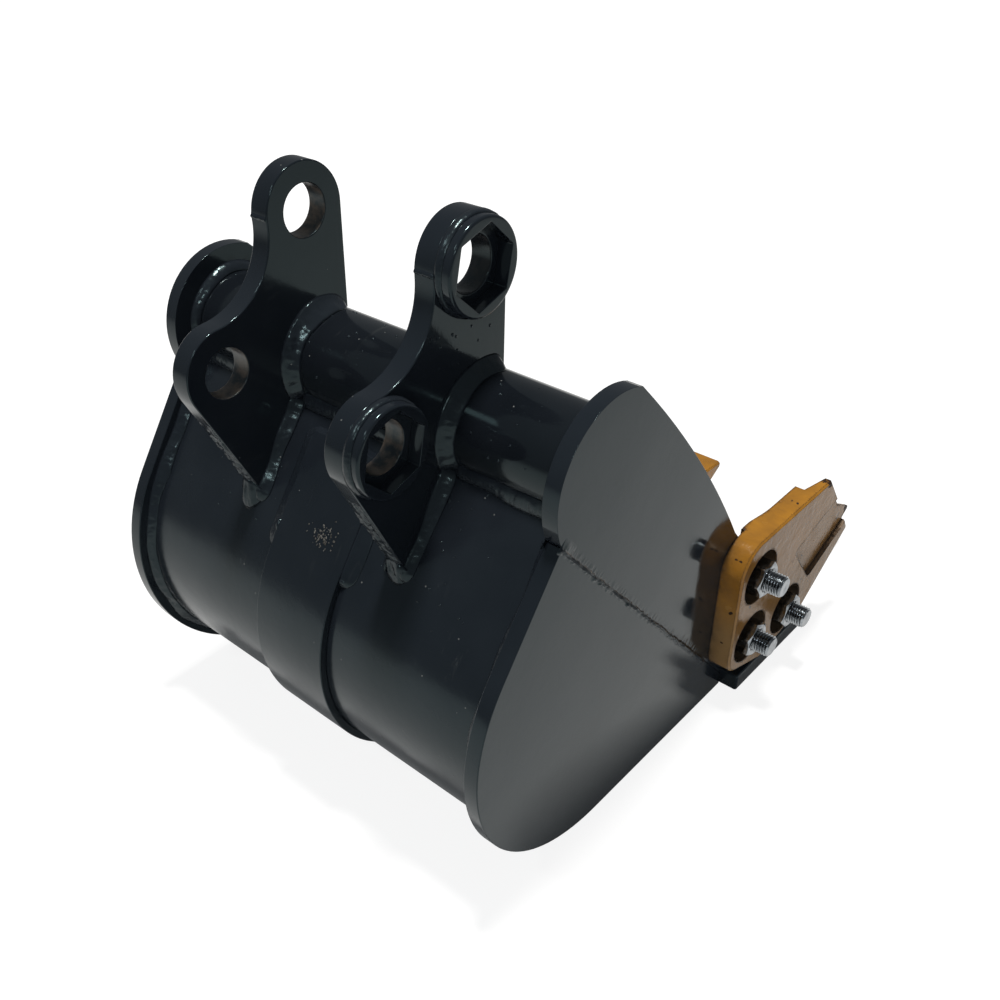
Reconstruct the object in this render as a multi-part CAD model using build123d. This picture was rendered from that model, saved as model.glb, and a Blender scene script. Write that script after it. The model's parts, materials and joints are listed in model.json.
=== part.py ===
from build123d import *
import math
import os

# Digging bucket for a small excavator: a welded shell of plate and tube, two
# pin ears, a cutting edge with three teeth, and a bolted side cutter per side.
#
# Frame: +X points to the right side plate, +Y forward to the teeth, +Z up.
# The origin lies on the dipper pin axis, half way between the two ears.
# All sizes are millimetres and degrees. Side outlines are drawn as (y, z) and
# extruded along X; angles in that plane are measured from +Y towards +Z.

# ---- pin bores and ears ----
PIN_BORE_RADIUS = 15.0
PIN_CENTRES = 102.0            # dipper pin to link pin
PIN_LINE_ANGLE = 226.0         # direction from the dipper pin to the link pin
EAR_GAP = 113.0                # clear width between the ears
EAR_THICKNESS = 14.0
EAR_LOBE_RADIUS = 27.5
EAR_WAIST_RADIUS = 45.0        # hollow between the two lobes
EAR_FRONT_ANGLE = 55.0         # where the front edge lands on the tube
EAR_TAIL_RISE = 25.0           # tail point, measured up the flank from the heel arc

# ---- hexagon bosses on the right ear ----
BOSS_RADIUS = 26.0
BOSS_THICKNESS = 9.0
BOSS_HEX_ACROSS_FLATS = 39.0
BOSS_HEX_TURN = 16.0

# ---- torque tube ----
TUBE_Y = 6.0
TUBE_Z = -93.0
TUBE_RADIUS = 31.75
TUBE_WALL = 6.0

# ---- shell: flank, heel and floor rolled from one plate ----
INSIDE_WIDTH = 302.0           # between the side plates
HEEL_Y = 6.0
HEEL_Z = -242.5
SHELL_RADIUS = 104.0           # outside of the heel bend
SHELL_THICKNESS = 8.0
FLANK_NORMAL_ANGLE = 142.8
STRAP_WIDTH = 60.0
STRAP_THICKNESS = 5.0
STRAP_FLOOR_LENGTH = 84.0      # run of the strap under the floor
STRAP_TOP_GAP = 12.0           # strap ends this far below the tube seam

# ---- side plates ----
SIDE_THICKNESS = 10.0
SIDE_STANDOUT = 9.5            # side plates stand proud of the shell
HEAD_RADIUS = 48.5             # round head about the tube
HEAD_FRONT_ANGLE = 67.0        # where the front edge leaves the head
FRONT_BEND_Y = 151.0
FRONT_BEND_Z = -210.0
FRONT_BOW = 5.5                # rise of the bowed upper front edge
FRONT_EDGE_ANGLE = -50.0       # straight lower front edge
SEAM_LAND = 4.0                # butt seam ends this far behind the lip
SEAM_BEAD_WIDTH = 12.0
SEAM_BEAD_HEIGHT = 1.0
SEAM_BEAD_CROWN = 0.6          # flat top of the bead, as a share of its width

# ---- cutting edge (lip) ----
LIP_REAR_Y = 162.0
LIP_LENGTH = 110.0
LIP_WIDTH = 350.0
LIP_THICKNESS = 15.0
LIP_NOSE = 4.0                 # blunt height left at the front
LIP_BEVEL = 10.0

# ---- side cutters ----
CUTTER_THICKNESS = 17.0
CUTTER_REAR = 13.0             # rear edge behind the front bend
CUTTER_TOP = 5.0               # top edge below the front bend
CUTTER_REACH = 104.5           # top front corner ahead of the front bend
CUTTER_TIP_REACH = 153.5
CUTTER_TIP_DROP = 72.0
CUTTER_KEEL_REACH = 92.0
CUTTER_KEEL_DROP = 118.0
CUTTER_FOOT_REACH = 36.0
CUTTER_FOOT_DROP = 127.0
CUTTER_HEEL_DROP = 109.5
CUTTER_CORNER_RADIUS = 22.0
CUTTER_EDGE_BREAK = 1.5        # chamfer round the outer face
BLADE_WIDTH = 18.5             # bevelled strip along the cutting edge
BLADE_STEP = 7.0               # depth of the step on the inner face
BLADE_EDGE_THICKNESS = 5.5
RIB_HEIGHT = 2.7               # rib on the inner face, ahead of the side plate
RIB_START = 7.0                # rib begins this far ahead of the front edge
RIB_WIDTH = 8.0
RIB_RUN_OUT = 14.0             # slope from the rib down to the inner face
LUG_REACH = 12.0               # blunt lug where the relief meets the edge
RELIEF_DEPTH = 3.5             # four-sided relief on the outer face
RELIEF_TOP_REACH = 63.5        # inner corners, ahead of and below the front bend
RELIEF_TOP_DROP = 46.0
RELIEF_LOW_REACH = 95.5
RELIEF_LOW_DROP = 87.0

# ---- side cutter bolting, M16 ----
BOLT_RADIUS = 8.0
BOLT_HOLE_CLEARANCE = 0.75
BOLT_ACROSS_FLATS = 24.0
BOLT_HEAD_HEIGHT = 10.0
BOLT_LENGTH = 45.0
NUT_HEIGHT = 13.0
WASHER_RADIUS = 15.0
WASHER_THICKNESS = 3.0
BOLT_SETBACK = 13.5            # first bolt row behind the front edge
BOLT_FIRST = 37.0              # first bolt along the front edge from the bend
BOLT_PITCH = 80.0
BOLT_APEX = 35.0               # third bolt behind the row
POCKET_RADIUS = 20.5
POCKET_DEPTH = 10.0
NUT_BORE_CLEARANCE = 0.05

# ---- teeth ----
TOOTH_SIDE_GAP = 7.0           # outer adapters to the side plates
POINT_LENGTH = 90.0
POINT_REAR_WIDTH = 50.0
POINT_TAPER = 1.5               # the tip is this much narrower than the rear
POINT_TIP_RISE = 32.0          # tip centre above the underside of the bucket
POINT_TIP_THICKNESS = 3.0
POINT_TOP_RISE = 42.0          # rear top edge above the underside
POINT_BEVEL_ANGLE = 31.0       # underside near the tip
POINT_FLOAT = 0.5              # underside of the point above the lip underside
POINT_CORNER_BREAK = 1.3
SHANK_LENGTH = 20.0            # adapter body between lip and point
SHANK_WIDTH = 44.0
LEG_LENGTH = 67.0              # adapter leg on top of the lip
LEG_HEIGHT = 14.0
NOSE_LENGTH = 43.0
NOSE_WIDTH = 30.0
NOSE_TOP_DROP = 8.0
NOSE_BOTTOM_RISE = 6.0
NOSE_END_HEIGHT = 15.0
NOSE_CLEARANCE = 0.25
LOCK_PIN_RADIUS = 4.5
LOCK_PIN_CLEARANCE = 0.15
LOCK_PIN_SETBACK = 16.0        # pin axis ahead of the adapter shoulder

# ---- weld beads ----
EAR_BEAD = 9.0
EAR_BEAD_STOP = 16.0           # bead ends this many degrees before the ear's front edge
TUBE_BEAD = 5.75
SHELL_BEAD = 5.0
STRAP_BEAD = 5.0
INNER_BEAD = 4.0
LIP_BEAD = 7.0
LIP_SIDE_BEAD = 3.5            # side plate to lip, inside
ADAPTER_BEAD = 3.0
BOSS_BEAD_HEIGHT = 3.0
BEAD_BULGE = 0.12              # how far a bead face swells, per leg length

# ---- derived values ----
SHELL_BOTTOM_Z = HEEL_Z - SHELL_RADIUS
BASE_Z = SHELL_BOTTOM_Z - SIDE_STANDOUT
LIP_TOP_Z = BASE_Z + LIP_THICKNESS
LIP_FRONT_Y = LIP_REAR_Y + LIP_LENGTH
FLOOR_TOP_Z = SHELL_BOTTOM_Z + SHELL_THICKNESS
EAR_INNER_X = EAR_GAP / 2
EAR_OUTER_X = EAR_INNER_X + EAR_THICKNESS
SIDE_INNER_X = INSIDE_WIDTH / 2
TOOTH_PITCH = SIDE_INNER_X - SHANK_WIDTH / 2 - TOOTH_SIDE_GAP
SIDE_OUTER_X = SIDE_INNER_X + SIDE_THICKNESS
CUTTER_OUTER_X = SIDE_OUTER_X + CUTTER_THICKNESS
FLOOR_LENGTH = LIP_REAR_Y - HEEL_Y
SHOULDER_Y = LIP_FRONT_Y + SHANK_LENGTH
POINT_TIP_WIDTH = POINT_REAR_WIDTH - POINT_TAPER


def along(angle):
    """Unit direction (y, z) at an angle from +Y."""
    return Vector(math.cos(math.radians(angle)), math.sin(math.radians(angle)))


def at(point, direction, distance):
    """Point reached by going a distance from a point in a direction."""
    return point + direction * distance


DIPPER_PIN = Vector(0.0, 0.0)
LINK_PIN = along(PIN_LINE_ANGLE) * PIN_CENTRES
TUBE = Vector(TUBE_Y, TUBE_Z)
HEEL = Vector(HEEL_Y, HEEL_Z)
FLANK_NORMAL = along(FLANK_NORMAL_ANGLE)
FLANK_UP = along(FLANK_NORMAL_ANGLE - 90)
FRONT_BEND = Vector(FRONT_BEND_Y, FRONT_BEND_Z)
FRONT_DOWN = along(FRONT_EDGE_ANGLE)
FRONT_AHEAD = along(FRONT_EDGE_ANGLE + 90)


def flank_circle_crossing(offset, radius, lower):
    """Where the flank line at an offset from the heel crosses a circle about the tube."""
    behind = offset - (TUBE - HEEL).dot(FLANK_NORMAL)
    reach = math.sqrt(radius ** 2 - behind ** 2)
    foot = at(TUBE, FLANK_NORMAL, behind)
    return at(foot, FLANK_UP, -reach if lower else reach)


def tangent_point(centre, radius, outside, side):
    """Point where a line from an outside point touches a circle; side is +1 or -1."""
    gap = outside - centre
    heading = math.degrees(math.atan2(gap.Y, gap.X))
    opening = math.degrees(math.acos(radius / gap.length))
    return at(centre, along(heading + side * opening), radius)


def plate(outline, x_from, x_to):
    """Extrude a (y, z) outline between two X positions."""
    return extrude(Plane.YZ.offset(x_from) * outline, amount=x_to - x_from)


def polygon(*corners):
    """Closed face through plain corners."""
    return make_face(Polyline(*corners, close=True))


def rounded_polygon(corners):
    """Closed face through corners given as (point, corner radius)."""
    face = polygon(*[point for point, radius in corners])
    for point, radius in corners:
        if radius > 0:
            corner = face.vertices().sort_by_distance(point)[0]
            face = fillet(corner, radius)
    return face


def rod(centre, radius, x_from, x_to):
    """Solid round bar along X."""
    return plate(Pos(centre.X, centre.Y) * Circle(radius), x_from, x_to)


def hexagon(centre, across_flats, turn, x_from, x_to):
    """Solid hexagonal bar along X with a corner at the turn angle."""
    corner_radius = across_flats / 2 / math.cos(math.radians(30))
    outline = Pos(centre.X, centre.Y) * Rot(0, 0, turn) * RegularPolygon(corner_radius, 6)
    return plate(outline, x_from, x_to)


def bead_section(corner_x, corner_r, leg_x, leg_r):
    """Fillet bead section in (x, r): a corner, one leg along each part, a swollen face."""
    swell = 0.5 + BEAD_BULGE
    return polygon(
        (corner_x, corner_r),
        (corner_x + leg_x, corner_r),
        (corner_x + leg_x * swell, corner_r + leg_r * swell),
        (corner_x, corner_r + leg_r),
    )


def mirrored(shape):
    """The same shape on the other side of the bucket."""
    return mirror(shape, about=Plane.YZ)


def both(shape):
    """A shape together with its mirror image, as separate solids."""
    return Compound(children=list(shape.solids()) + list(mirrored(shape).solids()))


def separate(*shapes):
    """Several shapes kept as separate solids of one node."""
    return Compound(children=[solid for shape in shapes for solid in shape.solids()])


# ---- shell geometry shared by plate, strap and beads ----

def heel_plane(direction):
    """Plane through the heel axis whose local y points along a (y, z) direction."""
    normal = Vector(1, 0, 0).cross(Vector(0, direction.X, direction.Y))
    return Plane(origin=(0, HEEL.X, HEEL.Y), x_dir=(1, 0, 0), z_dir=normal)


def belt(section, flank_length, floor_length):
    """Carry an (x, r) section down the flank, round the heel and along the floor."""
    flank_plane = heel_plane(FLANK_NORMAL)
    floor_plane = heel_plane(along(270))
    flank = extrude(flank_plane * section, amount=-flank_length)
    bend_axis = Axis((0, HEEL.X, HEEL.Y), (1, 0, 0))
    bend = revolve(flank_plane * section, axis=bend_axis, revolution_arc=270 - FLANK_NORMAL_ANGLE)
    floor = extrude(floor_plane * section, amount=floor_length)
    return flank + bend + floor


def belt_strip(x_from, x_to, r_from, r_to):
    """Rectangular section for the belt."""
    return polygon((x_from, r_from), (x_to, r_from), (x_to, r_to), (x_from, r_to))


TUBE_LEVEL = (TUBE - HEEL).dot(FLANK_UP)
TUBE_SEAM = flank_circle_crossing(SHELL_RADIUS, TUBE_RADIUS, lower=True)


def tube_solid():
    """The tube without its bore, used to cope the parts welded to it."""
    return rod(TUBE, TUBE_RADIUS, -SIDE_INNER_X, SIDE_INNER_X)


def torque_tube():
    bore = rod(TUBE, TUBE_RADIUS - TUBE_WALL, -SIDE_INNER_X, SIDE_INNER_X)
    return tube_solid() - bore


def wrapper_shell():
    section = belt_strip(-SIDE_INNER_X, SIDE_INNER_X, SHELL_RADIUS - SHELL_THICKNESS, SHELL_RADIUS)
    return belt(section, TUBE_LEVEL, FLOOR_LENGTH) - tube_solid()


def wear_strap():
    seam_level = (TUBE_SEAM - HEEL).dot(FLANK_UP)
    section = belt_strip(-STRAP_WIDTH / 2, STRAP_WIDTH / 2, SHELL_RADIUS, SHELL_RADIUS + STRAP_THICKNESS)
    strap = belt(section, seam_level - STRAP_TOP_GAP, STRAP_FLOOR_LENGTH)
    ends = strap.edges().filter_by(Axis.X).filter_by(lambda edge: is_strap_end(edge, seam_level))
    return chamfer(ends, STRAP_THICKNESS * 0.6)


def is_strap_end(edge, seam_level):
    """True for the outer edge across either end of the strap."""
    centre = Vector(edge.center().Y, edge.center().Z) - HEEL
    outer = SHELL_RADIUS + STRAP_THICKNESS
    on_top_end = abs(centre.dot(FLANK_UP) - (seam_level - STRAP_TOP_GAP)) < 0.1
    on_floor_end = abs(centre.X - STRAP_FLOOR_LENGTH) < 0.1
    on_flank_face = abs(centre.dot(FLANK_NORMAL) - outer) < 0.1
    on_floor_face = abs(centre.Y + outer) < 0.1
    return (on_top_end and on_flank_face) or (on_floor_end and on_floor_face)


# ---- ears and bosses ----

def ear_outline():
    """Two lobes with a hollow waist, landing on the tube and the flank."""
    sine = math.sin(math.radians(EAR_FRONT_ANGLE))
    cosine = math.cos(math.radians(EAR_FRONT_ANGLE))
    front_foot = TUBE + Vector(cosine, sine) * TUBE_RADIUS
    tail = at(at(HEEL, FLANK_NORMAL, SHELL_RADIUS), FLANK_UP, EAR_TAIL_RISE)
    front_touch = tangent_point(DIPPER_PIN, EAR_LOBE_RADIUS, front_foot, 1)
    tail_touch = tangent_point(LINK_PIN, EAR_LOBE_RADIUS, tail, -1)
    half = PIN_CENTRES / 2
    waist_reach = math.sqrt((EAR_LOBE_RADIUS + EAR_WAIST_RADIUS) ** 2 - half ** 2)
    waist = at(LINK_PIN * 0.5, along(PIN_LINE_ANGLE - 90), waist_reach)
    upper_touch = at(DIPPER_PIN, (waist - DIPPER_PIN).normalized(), EAR_LOBE_RADIUS)
    lower_touch = at(LINK_PIN, (waist - LINK_PIN).normalized(), EAR_LOBE_RADIUS)
    waist_low = at(waist, along(PIN_LINE_ANGLE + 90), EAR_WAIST_RADIUS)
    crown = at(DIPPER_PIN, along(PIN_LINE_ANGLE - 180), EAR_LOBE_RADIUS)
    lobe_end = at(LINK_PIN, along(PIN_LINE_ANGLE - 60), EAR_LOBE_RADIUS)
    seam_angle = math.degrees(math.atan2(TUBE_SEAM.Y - TUBE.Y, TUBE_SEAM.X - TUBE.X)) % 360
    saddle = at(TUBE, along((seam_angle + EAR_FRONT_ANGLE) / 2), TUBE_RADIUS)
    return make_face([
        Line(front_foot, front_touch),
        ThreePointArc(front_touch, crown, upper_touch),
        ThreePointArc(upper_touch, waist_low, lower_touch),
        ThreePointArc(lower_touch, lobe_end, tail_touch),
        Line(tail_touch, tail),
        Line(tail, TUBE_SEAM),
        ThreePointArc(TUBE_SEAM, saddle, front_foot),
    ])


def right_ear():
    ear = plate(ear_outline(), EAR_INNER_X, EAR_OUTER_X)
    for pin in (DIPPER_PIN, LINK_PIN):
        ear -= rod(pin, PIN_BORE_RADIUS, EAR_INNER_X, EAR_OUTER_X)
    return ear


def hex_boss(pin):
    boss_end = EAR_OUTER_X + BOSS_THICKNESS
    boss = rod(pin, BOSS_RADIUS, EAR_OUTER_X, boss_end)
    socket = hexagon(pin, BOSS_HEX_ACROSS_FLATS, BOSS_HEX_TURN, EAR_OUTER_X, boss_end)
    boss = chamfer(boss.edges().group_by(Axis.X)[-1], 1.0)
    return boss - socket


# ---- side plates ----

NOTCH = flank_circle_crossing(SHELL_RADIUS + SIDE_STANDOUT, HEAD_RADIUS, lower=True)
HEAD_FRONT = at(TUBE, along(HEAD_FRONT_ANGLE), HEAD_RADIUS)
LIP_CORNER = at(FRONT_BEND, FRONT_DOWN, (LIP_TOP_Z - FRONT_BEND.Y) / FRONT_DOWN.Y)
SEAM = (Vector(LIP_REAR_Y - SEAM_LAND, LIP_TOP_Z) - NOTCH).normalized()


def side_outline():
    """Round head, bowed front edge, step over the lip, floor, heel and flank."""
    heel_radius = SHELL_RADIUS + SIDE_STANDOUT
    notch_angle = math.degrees(math.atan2(NOTCH.Y - TUBE.Y, NOTCH.X - TUBE.X)) % 360
    head_top = at(TUBE, along((notch_angle + HEAD_FRONT_ANGLE) / 2), HEAD_RADIUS)
    chord = FRONT_BEND - HEAD_FRONT
    chord_normal = Vector(-chord.Y, chord.X).normalized()
    bow_middle = at((HEAD_FRONT + FRONT_BEND) * 0.5, chord_normal, FRONT_BOW)
    heel_low = at(HEEL, along(270), heel_radius)
    heel_middle = at(HEEL, along((FLANK_NORMAL_ANGLE + 270) / 2), heel_radius)
    heel_high = at(HEEL, FLANK_NORMAL, heel_radius)
    step_top = Vector(LIP_REAR_Y, LIP_TOP_Z)
    step_bottom = Vector(LIP_REAR_Y, BASE_Z)
    return make_face([
        ThreePointArc(NOTCH, head_top, HEAD_FRONT),
        ThreePointArc(HEAD_FRONT, bow_middle, FRONT_BEND),
        Line(FRONT_BEND, LIP_CORNER),
        Line(LIP_CORNER, step_top),
        Line(step_top, step_bottom),
        Line(step_bottom, heel_low),
        ThreePointArc(heel_low, heel_middle, heel_high),
        Line(heel_high, NOTCH),
    ])


def bolt_centres():
    """Two bolts along the front edge and one behind them."""
    row_start = at(at(FRONT_BEND, FRONT_DOWN, BOLT_FIRST), FRONT_AHEAD, -BOLT_SETBACK)
    row_end = at(row_start, FRONT_DOWN, BOLT_PITCH)
    apex = at(at(row_start, FRONT_DOWN, BOLT_PITCH / 2), FRONT_AHEAD, -BOLT_APEX)
    return [row_start, row_end, apex]


def below_seam():
    """Everything under the butt seam, from the notch on."""
    far = PIN_CENTRES * 5
    end = at(NOTCH, SEAM, far)
    across = Vector(SEAM.Y, -SEAM.X)
    quarter = polygon(NOTCH, end, at(end, across, far), at(NOTCH, across, far))
    return plate(quarter, SIDE_INNER_X, SIDE_OUTER_X)


def right_side_plate():
    side = plate(side_outline(), SIDE_INNER_X, SIDE_OUTER_X)
    for centre in bolt_centres():
        side -= rod(centre, BOLT_RADIUS + BOLT_HOLE_CLEARANCE, SIDE_INNER_X, SIDE_OUTER_X)
    return side


def right_upper_side_plate():
    return right_side_plate() - below_seam()


def right_lower_side_plate():
    return right_side_plate() & below_seam()


# ---- cutting edge ----

def cutting_edge():
    outline = polygon(
        (LIP_REAR_Y, BASE_Z),
        (LIP_FRONT_Y, BASE_Z),
        (LIP_FRONT_Y, BASE_Z + LIP_NOSE),
        (LIP_FRONT_Y - LIP_BEVEL, LIP_TOP_Z),
        (LIP_REAR_Y, LIP_TOP_Z),
    )
    return plate(outline, -LIP_WIDTH / 2, LIP_WIDTH / 2)


# ---- side cutter casting ----

def cutter_point(ahead, below):
    """Cutter point given from the bend of the side plate's front edge."""
    return FRONT_BEND + Vector(ahead, -below)


CUTTER_TOP_FRONT = cutter_point(CUTTER_REACH, CUTTER_TOP)
CUTTER_TIP = cutter_point(CUTTER_TIP_REACH, CUTTER_TIP_DROP)
CUTTER_EDGE = (CUTTER_TIP - CUTTER_TOP_FRONT).normalized()
CUTTER_EDGE_AHEAD = Vector(-CUTTER_EDGE.Y, CUTTER_EDGE.X)
CUTTER_EDGE_LENGTH = (CUTTER_TIP - CUTTER_TOP_FRONT).length


def edge_point(share, ahead):
    """Point along the cutter's cutting edge by share of its length, and ahead of it."""
    return at(at(CUTTER_TOP_FRONT, CUTTER_EDGE, share * CUTTER_EDGE_LENGTH), CUTTER_EDGE_AHEAD, ahead)


def cutter_outline():
    """Rounded casting outline with a worn lug standing out of the cutting edge."""
    return rounded_polygon([
        (cutter_point(-CUTTER_REAR, CUTTER_TOP), CUTTER_CORNER_RADIUS),
        (CUTTER_TOP_FRONT, 2),
        (edge_point(0.55, 1), 8),
        (edge_point(0.86, LUG_REACH), 2.5),
        (edge_point(0.86, 1), 1.5),
        (CUTTER_TIP, 3),
        (cutter_point(CUTTER_KEEL_REACH, CUTTER_KEEL_DROP), 14),
        (cutter_point(CUTTER_FOOT_REACH, CUTTER_FOOT_DROP), 20),
        (cutter_point(-CUTTER_REAR, CUTTER_HEEL_DROP), 16),
    ])


def stiffening_rib():
    """Long rib parallel to the side plate's front edge, before trimming to the casting."""
    crest_x = SIDE_OUTER_X - RIB_HEIGHT
    long_way = CUTTER_REACH * 3
    origin = at(FRONT_BEND, FRONT_DOWN, -long_way)
    section_plane = Plane(
        origin=(0, origin.X, origin.Y),
        x_dir=(0, FRONT_AHEAD.X, FRONT_AHEAD.Y),
        z_dir=(0, FRONT_DOWN.X, FRONT_DOWN.Y),
    )
    side = 1 if section_plane.y_dir.X > 0 else -1
    section = polygon(
        (RIB_START, side * SIDE_OUTER_X),
        (RIB_START + 1, side * crest_x),
        (RIB_START + RIB_WIDTH, side * crest_x),
        (RIB_START + RIB_WIDTH + RIB_RUN_OUT, side * SIDE_OUTER_X),
    )
    return extrude(section_plane * section, amount=long_way * 2)


def blade_bevel():
    """Wedge taken off the inner face so the blade thins towards the cutting edge."""
    long_way = CUTTER_EDGE_LENGTH * 2
    inner_x = SIDE_OUTER_X - RIB_HEIGHT - 1
    step_x = SIDE_OUTER_X + BLADE_STEP
    edge_x = CUTTER_OUTER_X - BLADE_EDGE_THICKNESS
    beyond = BLADE_WIDTH + LUG_REACH + 2
    origin = at(at(CUTTER_TOP_FRONT, CUTTER_EDGE_AHEAD, -BLADE_WIDTH), CUTTER_EDGE, -long_way)
    section_plane = Plane(
        origin=(0, origin.X, origin.Y),
        x_dir=(0, CUTTER_EDGE_AHEAD.X, CUTTER_EDGE_AHEAD.Y),
        z_dir=(0, CUTTER_EDGE.X, CUTTER_EDGE.Y),
    )
    side = 1 if section_plane.y_dir.X > 0 else -1
    section = polygon(
        (0, side * inner_x),
        (beyond, side * inner_x),
        (beyond, side * edge_x),
        (BLADE_WIDTH, side * edge_x),
        (0, side * step_x),
    )
    return extrude(section_plane * section, amount=long_way * 2)


def relief_outline():
    """Four-sided relief that opens at the cutting edge."""
    inner_top = cutter_point(RELIEF_TOP_REACH, RELIEF_TOP_DROP)
    inner_low = cutter_point(RELIEF_LOW_REACH, RELIEF_LOW_DROP)
    mouth_top = edge_point(0.36, 0)
    mouth_low = edge_point(0.88, 0)
    top_way = (mouth_top - inner_top).normalized()
    low_way = (mouth_low - inner_low).normalized()
    return rounded_polygon([
        (inner_top, 2),
        (inner_low, 6),
        (at(mouth_low, low_way, LUG_REACH * 2), 0),
        (at(mouth_top, top_way, LUG_REACH * 2), 0),
    ])


def right_side_cutter():
    crest_x = SIDE_OUTER_X - RIB_HEIGHT
    cutter = plate(cutter_outline(), SIDE_OUTER_X, CUTTER_OUTER_X)
    outer_rim = cutter.edges().group_by(Axis.X)[-1]
    cutter = chamfer(outer_rim, CUTTER_EDGE_BREAK)
    cutter += stiffening_rib() & plate(cutter_outline(), crest_x, SIDE_OUTER_X)
    cutter -= blade_bevel()
    cutter -= plate(relief_outline(), CUTTER_OUTER_X - RELIEF_DEPTH, CUTTER_OUTER_X)
    for centre in bolt_centres():
        cutter -= rod(centre, POCKET_RADIUS, CUTTER_OUTER_X - POCKET_DEPTH, CUTTER_OUTER_X)
        cutter -= rod(centre, BOLT_RADIUS + BOLT_HOLE_CLEARANCE, crest_x, CUTTER_OUTER_X)
    return cutter


# ---- cutter fasteners ----

POCKET_FLOOR_X = CUTTER_OUTER_X - POCKET_DEPTH
NUT_SEAT_X = POCKET_FLOOR_X + WASHER_THICKNESS


def right_cutter_bolts():
    bolts = []
    for index, centre in enumerate(bolt_centres()):
        head = hexagon(centre, BOLT_ACROSS_FLATS, index * 17, SIDE_INNER_X - BOLT_HEAD_HEIGHT, SIDE_INNER_X)
        shank = rod(centre, BOLT_RADIUS, SIDE_INNER_X, SIDE_INNER_X + BOLT_LENGTH)
        shank = chamfer(shank.edges().group_by(Axis.X)[-1], 1.2)
        bolts.append(head + shank)
    return separate(*bolts)


def right_cutter_nuts():
    nuts = []
    for index, centre in enumerate(bolt_centres()):
        nut = hexagon(centre, BOLT_ACROSS_FLATS, 11 + index * 23, NUT_SEAT_X, NUT_SEAT_X + NUT_HEIGHT)
        bore = rod(centre, BOLT_RADIUS + NUT_BORE_CLEARANCE, NUT_SEAT_X, NUT_SEAT_X + NUT_HEIGHT)
        nuts.append(nut - bore)
    return separate(*nuts)


def right_cutter_washers():
    washers = []
    for centre in bolt_centres():
        disc = rod(centre, WASHER_RADIUS, POCKET_FLOOR_X, NUT_SEAT_X)
        hole = rod(centre, BOLT_RADIUS + BOLT_HOLE_CLEARANCE, POCKET_FLOOR_X, NUT_SEAT_X)
        washers.append(disc - hole)
    return separate(*washers)


# ---- teeth ----

POINT_TIP_Y = SHOULDER_Y + POINT_LENGTH
POINT_TOP_Z = BASE_Z + POINT_TOP_RISE
POINT_LOW_Z = BASE_Z + POINT_FLOAT
POINT_TIP_Z = BASE_Z + POINT_TIP_RISE
NOSE_TOP_Z = POINT_TOP_Z - NOSE_TOP_DROP
NOSE_LOW_Z = POINT_LOW_Z + NOSE_BOTTOM_RISE
NOSE_MID_Z = (NOSE_TOP_Z + NOSE_LOW_Z) / 2
LOCK_PIN = Vector(SHOULDER_Y + LOCK_PIN_SETBACK, NOSE_MID_Z)


def nose_block(clearance):
    """Tapered adapter nose; the socket in the point is the same with clearance."""
    end_y = SHOULDER_Y + NOSE_LENGTH + clearance
    half_end = NOSE_END_HEIGHT / 2 + clearance
    outline = polygon(
        (SHOULDER_Y, NOSE_LOW_Z - clearance),
        (end_y, NOSE_MID_Z - half_end),
        (end_y, NOSE_MID_Z + half_end),
        (SHOULDER_Y, NOSE_TOP_Z + clearance),
    )
    half_width = NOSE_WIDTH / 2 + clearance
    return plate(outline, -half_width, half_width)


def tooth_point(x):
    """Chisel point with a bevelled underside and a socket for the nose."""
    half_tip = POINT_TIP_THICKNESS / 2
    bevel_drop = POINT_TIP_Z - half_tip - POINT_LOW_Z
    bevel_run = bevel_drop / math.tan(math.radians(POINT_BEVEL_ANGLE))
    side = polygon(
        (SHOULDER_Y, POINT_LOW_Z),
        (POINT_TIP_Y - bevel_run, POINT_LOW_Z),
        (POINT_TIP_Y, POINT_TIP_Z - half_tip),
        (POINT_TIP_Y, POINT_TIP_Z + half_tip),
        (SHOULDER_Y, POINT_TOP_Z),
    )
    plan = rounded_polygon([
        (Vector(-POINT_REAR_WIDTH / 2, SHOULDER_Y), 0),
        (Vector(POINT_REAR_WIDTH / 2, SHOULDER_Y), 0),
        (Vector(POINT_TIP_WIDTH / 2, POINT_TIP_Y), 4),
        (Vector(-POINT_TIP_WIDTH / 2, POINT_TIP_Y), 4),
    ])
    slab = extrude(Plane.XY.offset(BASE_Z) * plan, amount=POINT_TOP_RISE)
    point = plate(side, -POINT_REAR_WIDTH / 2, POINT_REAR_WIDTH / 2) & slab
    long_edges = point.edges().filter_by(lambda edge: is_point_corner(edge))
    point = chamfer(long_edges, POINT_CORNER_BREAK)
    point -= nose_block(NOSE_CLEARANCE)
    point -= rod(LOCK_PIN, LOCK_PIN_RADIUS + LOCK_PIN_CLEARANCE, -POINT_REAR_WIDTH, POINT_REAR_WIDTH)
    return Pos(x, 0, 0) * point


def is_point_corner(edge):
    """True for the top and bottom corner edges that run towards the tip."""
    near_side = abs(edge.center().X) > POINT_TIP_WIDTH / 2 - 1
    runs_forward = abs(edge.bounding_box().size.Y) > POINT_LENGTH * 0.3
    return near_side and runs_forward


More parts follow.
